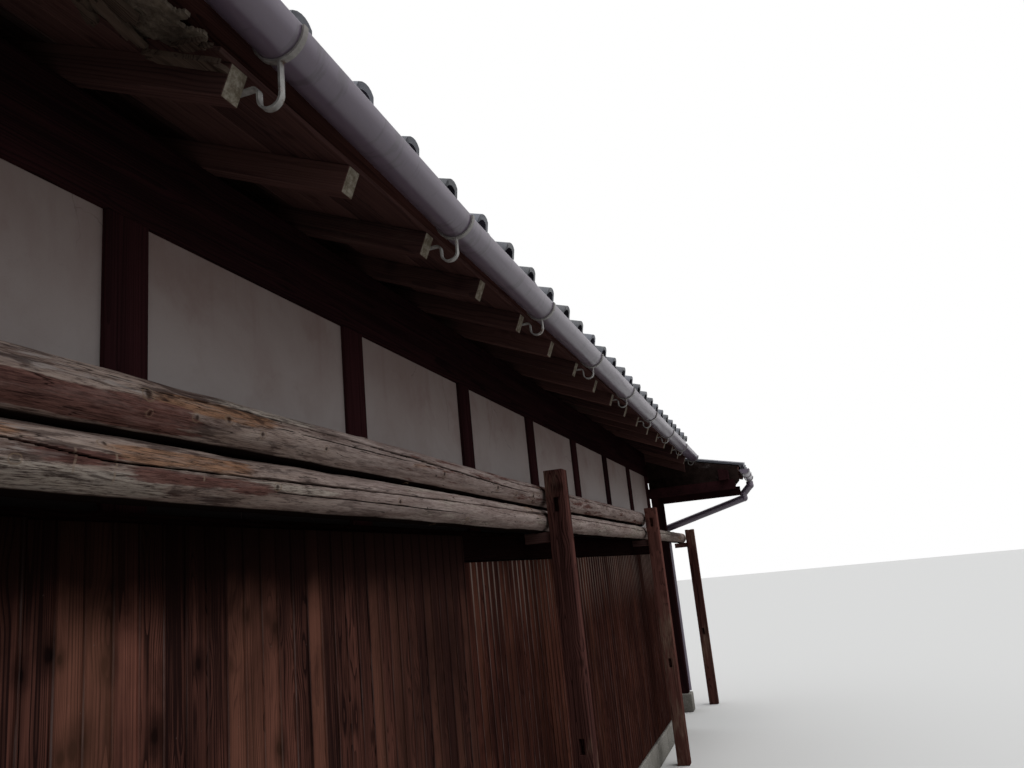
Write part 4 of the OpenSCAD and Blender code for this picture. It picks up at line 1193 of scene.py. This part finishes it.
class TOWNHOUSE_OT_tiles(bpy.types.Operator):
    """Builds the tile courses and the ridge"""

    bl_idname = "townhouse.tiles"
    bl_label = "Tiles"

    def execute(self, context):
        eave_low, eave_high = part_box("eave_boards")
        bed_low, bed_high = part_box("roof_bed")
        tiles_low, tiles_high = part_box("front_tiles")
        board_t = bed_low.y - eave_low.y
        first = Vector((eave_low.y + board_t, eave_high.z))
        last = Vector((RIDGE_Y - 0.001, bed_high.z))
        rise = last - first
        angle = math.atan2(rise.y, rise.x)
        edge_y = eave_low.y
        edge_z = first.y - board_t * math.tan(angle)
        lowest = (tiles_low.y - edge_y + ROLL_TOP * math.sin(angle)) / math.cos(angle)
        top = (RIDGE_Y - 0.03 - edge_y) / math.cos(angle)
        for side, behind, seed in (("front", False, 41), ("back", True, 42)):
            lie = roof_place(behind, angle, edge_z, edge_y)
            tiled_slope(side + "_tile_courses", side + "_tiles", lie, tiles_low.x, tiles_high.x,
                top - lowest, lowest, seed)
        self.ridge()
        return {"FINISHED"}

    def ridge(self):
        """Stepped flat tiles under a row of round ones, and a plain shouldered tile at each end."""
        chance = random.Random(45)
        low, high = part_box("ridge_tiles")
        mesh = fresh()
        courses, lip, step = 4, 0.007, 0.13 / 4
        length = 0.27
        count = round((high.x - low.x) / length)
        length = (high.x - low.x) / count
        centre = (low.y + high.y) / 2
        half = (high.y - low.y) / 2
        for row in range(courses):
            reach = half - row * lip
            for n in range(count):
                shift = 0.5 * (row % 2)
                x0 = low.x + max(0.0, n - shift) * length
                x1 = low.x + min(count, n + 1 - shift) * length
                z0 = low.z + row * step
                add_block(mesh, (x0 + 0.001, centre - reach, z0 + 0.01),
                    (x1 - 0.001, centre + reach, z0 + step), chance.uniform(-1, 1))
                add_block(mesh, (x0, centre - reach + 0.012, z0), (x1, centre + reach - 0.012, z0 + 0.01),
                    -0.8)
        bevel_all(mesh, 0.0025)
        radius = high.z - low.z - courses * step
        for n in range(count):
            x0 = low.x + n * length
            verts = self.round_tile(mesh, radius, length, chance)
            bmesh.ops.translate(mesh, vec=(x0, centre, low.z + courses * step), verts=verts)
        finished("ridge_tile_courses", mesh, tile_clay("Smoked Tile"), ["ridge_tiles"],
            smooth=40)
        softened("ridge_end_tiles", "ridge_ends", tile_clay("Smoked Tile"), 0.006, 2, 46)

    def round_tile(self, mesh, radius, length, chance):
        """A half-round tile along X with a raised band at its joint."""
        verts = bmesh.ops.create_circle(mesh, cap_ends=False, radius=radius - 0.006, segments=28)["verts"]
        bmesh.ops.rotate(mesh, cent=(0, 0, 0), matrix=Matrix.Rotation(math.pi / 2, 3, "Y"), verts=verts)
        bmesh.ops.delete(mesh, geom=[v for v in verts if v.co.z < -0.001], context="VERTS")
        verts = [v for v in verts if v.is_valid]
        edges = list({e for v in verts for e in v.link_edges})
        tone = chance.uniform(-1, 1)
        out = list(verts)
        steps = ((0.03, 0.0), (0.004, 0.006), (0.022, 0.0), (0.004, -0.006), (length - 0.062, 0.0))
        for reach, grow in steps:
            geom = bmesh.ops.extrude_edge_only(mesh, edges=edges)["geom"]
            ring = verts_in(geom)
            edges = [g for g in geom if isinstance(g, bmesh.types.BMEdge)
                and all(v in ring for v in g.verts)]
            for vert in ring:
                flat = Vector((0, vert.co.y, vert.co.z))
                vert.co += Vector((reach, 0, 0)) + flat.normalized() * grow
            out += ring
        set_tone(mesh, out, tone)
        return out


class TOWNHOUSE_OT_gutters(bpy.types.Operator):
    """Finishes the gutters, the downpipe and the hooks"""

    bl_idname = "townhouse.gutters"
    bl_label = "Gutters"

    def execute(self, context):
        for node in ("front_gutter", "back_gutter", "canopy_gutter", "downpipe"):
            finish_node(node, gutter_paint("Gutter Paint"))
        finish_node("gutter_hooks", zinc_coat("Dull Zinc"))
        return {"FINISHED"}


class TOWNHOUSE_OT_canopy(bpy.types.Operator):
    """Finishes the canopy over the open end bay"""

    bl_idname = "townhouse.canopy"
    bl_label = "Canopy"

    def execute(self, context):
        softened("canopy_post_timber", "canopy_post", frame_timber("Z"), 0.003, 2, 51)
        finish_node("canopy_beams", frame_timber("X"))
        sloped = rafter_timber("Canopy Rafter Timber", "Y", CANOPY_ANGLE)
        softened("canopy_rafter_timbers", "canopy_rafters", sloped, 0.002, 1, 52)
        boards = timber("Canopy Board Timber", (0.01, 0.0065, 0.006), (0.062, 0.04, 0.034), "X",
            pale=(0.2, 0.17, 0.16), pale_share=0.35)
        finish_node("canopy_boards", boards)
        finish_node("canopy_tiles", tile_clay("Smoked Tile"))
        return {"FINISHED"}


class TOWNHOUSE_OT_rack(bpy.types.Operator):
    """Builds the logs and finishes the props that carry them"""

    bl_idname = "townhouse.rack"
    bl_label = "Log Rack"

    def execute(self, context):
        thick, thin, near_z, fall = 0.0615, 0.055, 1.815, 0.03
        low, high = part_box("lower_log")
        x0, x1 = house_x(-0.15), house_x(9.3475)

        def radius(x):
            return thick + (thin - thick) * (x - x0) / (x1 - x0)

        def lower_z(x):
            return near_z - fall * (x - x0) / (x1 - x0)

        def upper_z(x):
            return lower_z(x) + 2 * radius(x)

        def lower_bend(x):
            return (0.003 * math.sin(1.1 * x + 0.4), 0.0)

        def upper_bend(x):
            return (0.004 * math.sin(0.9 * x + 2.0), 0.0025 + 0.0025 * math.sin(1.7 * x))

        peeled_log("lower_log_timber", "lower_log", 61, low.x, high.x, lower_z, radius, lower_bend,
            LOWER_LOG)
        low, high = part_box("upper_log")
        peeled_log("upper_log_timber", "upper_log", 62, low.x, high.x, upper_z, radius, upper_bend,
            UPPER_LOG)
        prop = timber("Prop Timber", (0.033, 0.015, 0.014), (0.23, 0.095, 0.077), "Z",
            pale=(0.34, 0.235, 0.17), pale_share=0.35, knots=0.7, contrast=1.2)
        softened("prop_post_timbers", "prop_posts", prop, 0.005, 2, 63)
        softened("rack_arm_timbers", "rack_arms", rafter_timber("Rack Arm Timber", "Y"),
            0.003, 2, 64)
        return {"FINISHED"}


class TOWNHOUSE_OT_stones(bpy.types.Operator):
    """Finishes the foundation stones"""

    bl_idname = "townhouse.stones"
    bl_label = "Foundation Stones"

    def execute(self, context):
        softened("foundation_blocks", "foundation_stones", granite("Split Granite"),
            0.008, 2, 71)
        return {"FINISHED"}


class TOWNHOUSE_OT_stage(bpy.types.Operator):
    """Builds the floor, the lights and the camera"""

    bl_idname = "townhouse.stage"
    bl_label = "Stage"

    def execute(self, context):
        scene = context.scene
        scene.view_settings.view_transform = "Standard"
        floor_mesh = bmesh.new()
        half_side = 60
        bmesh.ops.create_grid(floor_mesh, x_segments=1, y_segments=1, size=half_side)
        bmesh.ops.translate(floor_mesh, vec=(0, 0, -0.0015), verts=floor_mesh.verts)
        data = bpy.data.meshes.new("floor")
        floor_mesh.to_mesh(data)
        floor_mesh.free()
        finish = Finish("Floor")
        rays = finish.tree.nodes.new("ShaderNodeLightPath").outputs
        seen = maths("MAXIMUM", rays["Is Camera Ray"], rays["Is Glossy Ray"])
        finish.color = mixed(seen, (0.2, 0.19, 0.18), (0.72, 0.71, 0.69))
        data.materials.append(finish.set(0.9, specular=0.2))
        floor = bpy.data.objects.new("floor", data)
        scene.collection.objects.link(floor)
        self.light(scene)
        self.camera(scene)
        return {"FINISHED"}

    def light(self, scene):
        """A sky that is strongest overhead, seen as plain white, and a soft sun over the alley."""
        world = bpy.data.worlds.new("Soft Sky")
        scene.world = world
        world.use_nodes = True
        tree = world.node_tree
        tree.nodes.clear()
        way = add(tree, "ShaderNodeTexCoord").outputs["Generated"]
        up = add(tree, "ShaderNodeSeparateXYZ", {0: way}).outputs["Z"]
        lamp = add(tree, "ShaderNodeBackground", {"Color": (0.93, 0.96, 1.0),
            "Strength": stepped(up, -0.1, 0.9, 0.1, 0.8)})
        seen = add(tree, "ShaderNodeBackground", {"Color": (1.0, 1.0, 1.0), "Strength": 1.0})
        rays = tree.nodes.new("ShaderNodeLightPath").outputs
        direct = maths("MAXIMUM", rays["Is Camera Ray"], rays["Is Glossy Ray"])
        both = add(tree, "ShaderNodeMixShader", {0: direct, 1: lamp.outputs[0], 2: seen.outputs[0]})
        add(tree, "ShaderNodeOutputWorld", {"Surface": both.outputs[0]})
        lamp_data = bpy.data.lights.new("Soft Sun", "SUN")
        lamp_data.energy = 1.2
        lamp_data.angle = math.radians(50)
        sun = bpy.data.objects.new("Soft Sun", lamp_data)
        sun.rotation_euler = Vector((0.1, -0.38, 0.92)).to_track_quat("Z", "Y").to_euler()
        scene.collection.objects.link(sun)

    def camera(self, scene):
        """The photo's viewpoint, from under the eave and up along the wall."""
        view = sizes("view")
        data = bpy.data.cameras.new("Camera")
        data.lens = view.lens
        data.sensor_width = 36.0
        data.clip_start = 0.05
        camera = bpy.data.objects.new("Camera", data)
        forward = Vector((0.9297, 0.2892, 0.2284)).normalized()
        right = Vector((0.317, -0.9436, -0.0959))
        right = (right - forward * right.dot(forward)).normalized()
        above = right.cross(forward)
        turn = Matrix((right, above, -forward)).transposed().to_4x4()
        place = house(-view.eye_before, -view.eye_out, view.eye_height)
        camera.matrix_world = Matrix.Translation(place) @ turn
        scene.collection.objects.link(camera)
        scene.camera = camera


class TOWNHOUSE_PT_panel(bpy.types.Panel):
    """Lists the pieces of the townhouse wing"""

    bl_idname = "TOWNHOUSE_PT_panel"
    bl_label = "Townhouse"
    bl_space_type = "VIEW_3D"
    bl_region_type = "UI"
    bl_category = "Townhouse"

    def draw(self, context):
        for operator in OPERATORS:
            self.layout.operator(operator.bl_idname)
        for name in GROUPS:
            group = sizes(name)
            box = self.layout.box()
            box.label(text=name.title())
            for key in group.__annotations__:
                box.prop(group, key)


GROUPS = {
    "wood": TownhouseWood, "walls": TownhouseWalls, "roof": TownhouseRoof, "metal": TownhouseMetal,
    "view": TownhouseView,
}
OPERATORS = (
    TOWNHOUSE_OT_frame, TOWNHOUSE_OT_plaster, TOWNHOUSE_OT_cladding, TOWNHOUSE_OT_rafters,
    TOWNHOUSE_OT_decay, TOWNHOUSE_OT_tiles, TOWNHOUSE_OT_gutters, TOWNHOUSE_OT_canopy,
    TOWNHOUSE_OT_rack, TOWNHOUSE_OT_stones, TOWNHOUSE_OT_stage,
)


def register():
    for group in GROUPS.values():
        bpy.utils.register_class(group)
    for name, group in GROUPS.items():
        setattr(bpy.types.Scene, "townhouse_" + name, bpy.props.PointerProperty(type=group))
    for operator in OPERATORS:
        bpy.utils.register_class(operator)
    bpy.utils.register_class(TOWNHOUSE_PT_panel)


def unregister():
    bpy.utils.unregister_class(TOWNHOUSE_PT_panel)
    for operator in reversed(OPERATORS):
        bpy.utils.unregister_class(operator)
    for name, group in GROUPS.items():
        delattr(bpy.types.Scene, "townhouse_" + name)
        bpy.utils.unregister_class(group)


def main():
    register()
    for operator in OPERATORS:
        getattr(bpy.ops.townhouse, operator.bl_idname.split(".")[1])()


if __name__ == "__main__":
    main()
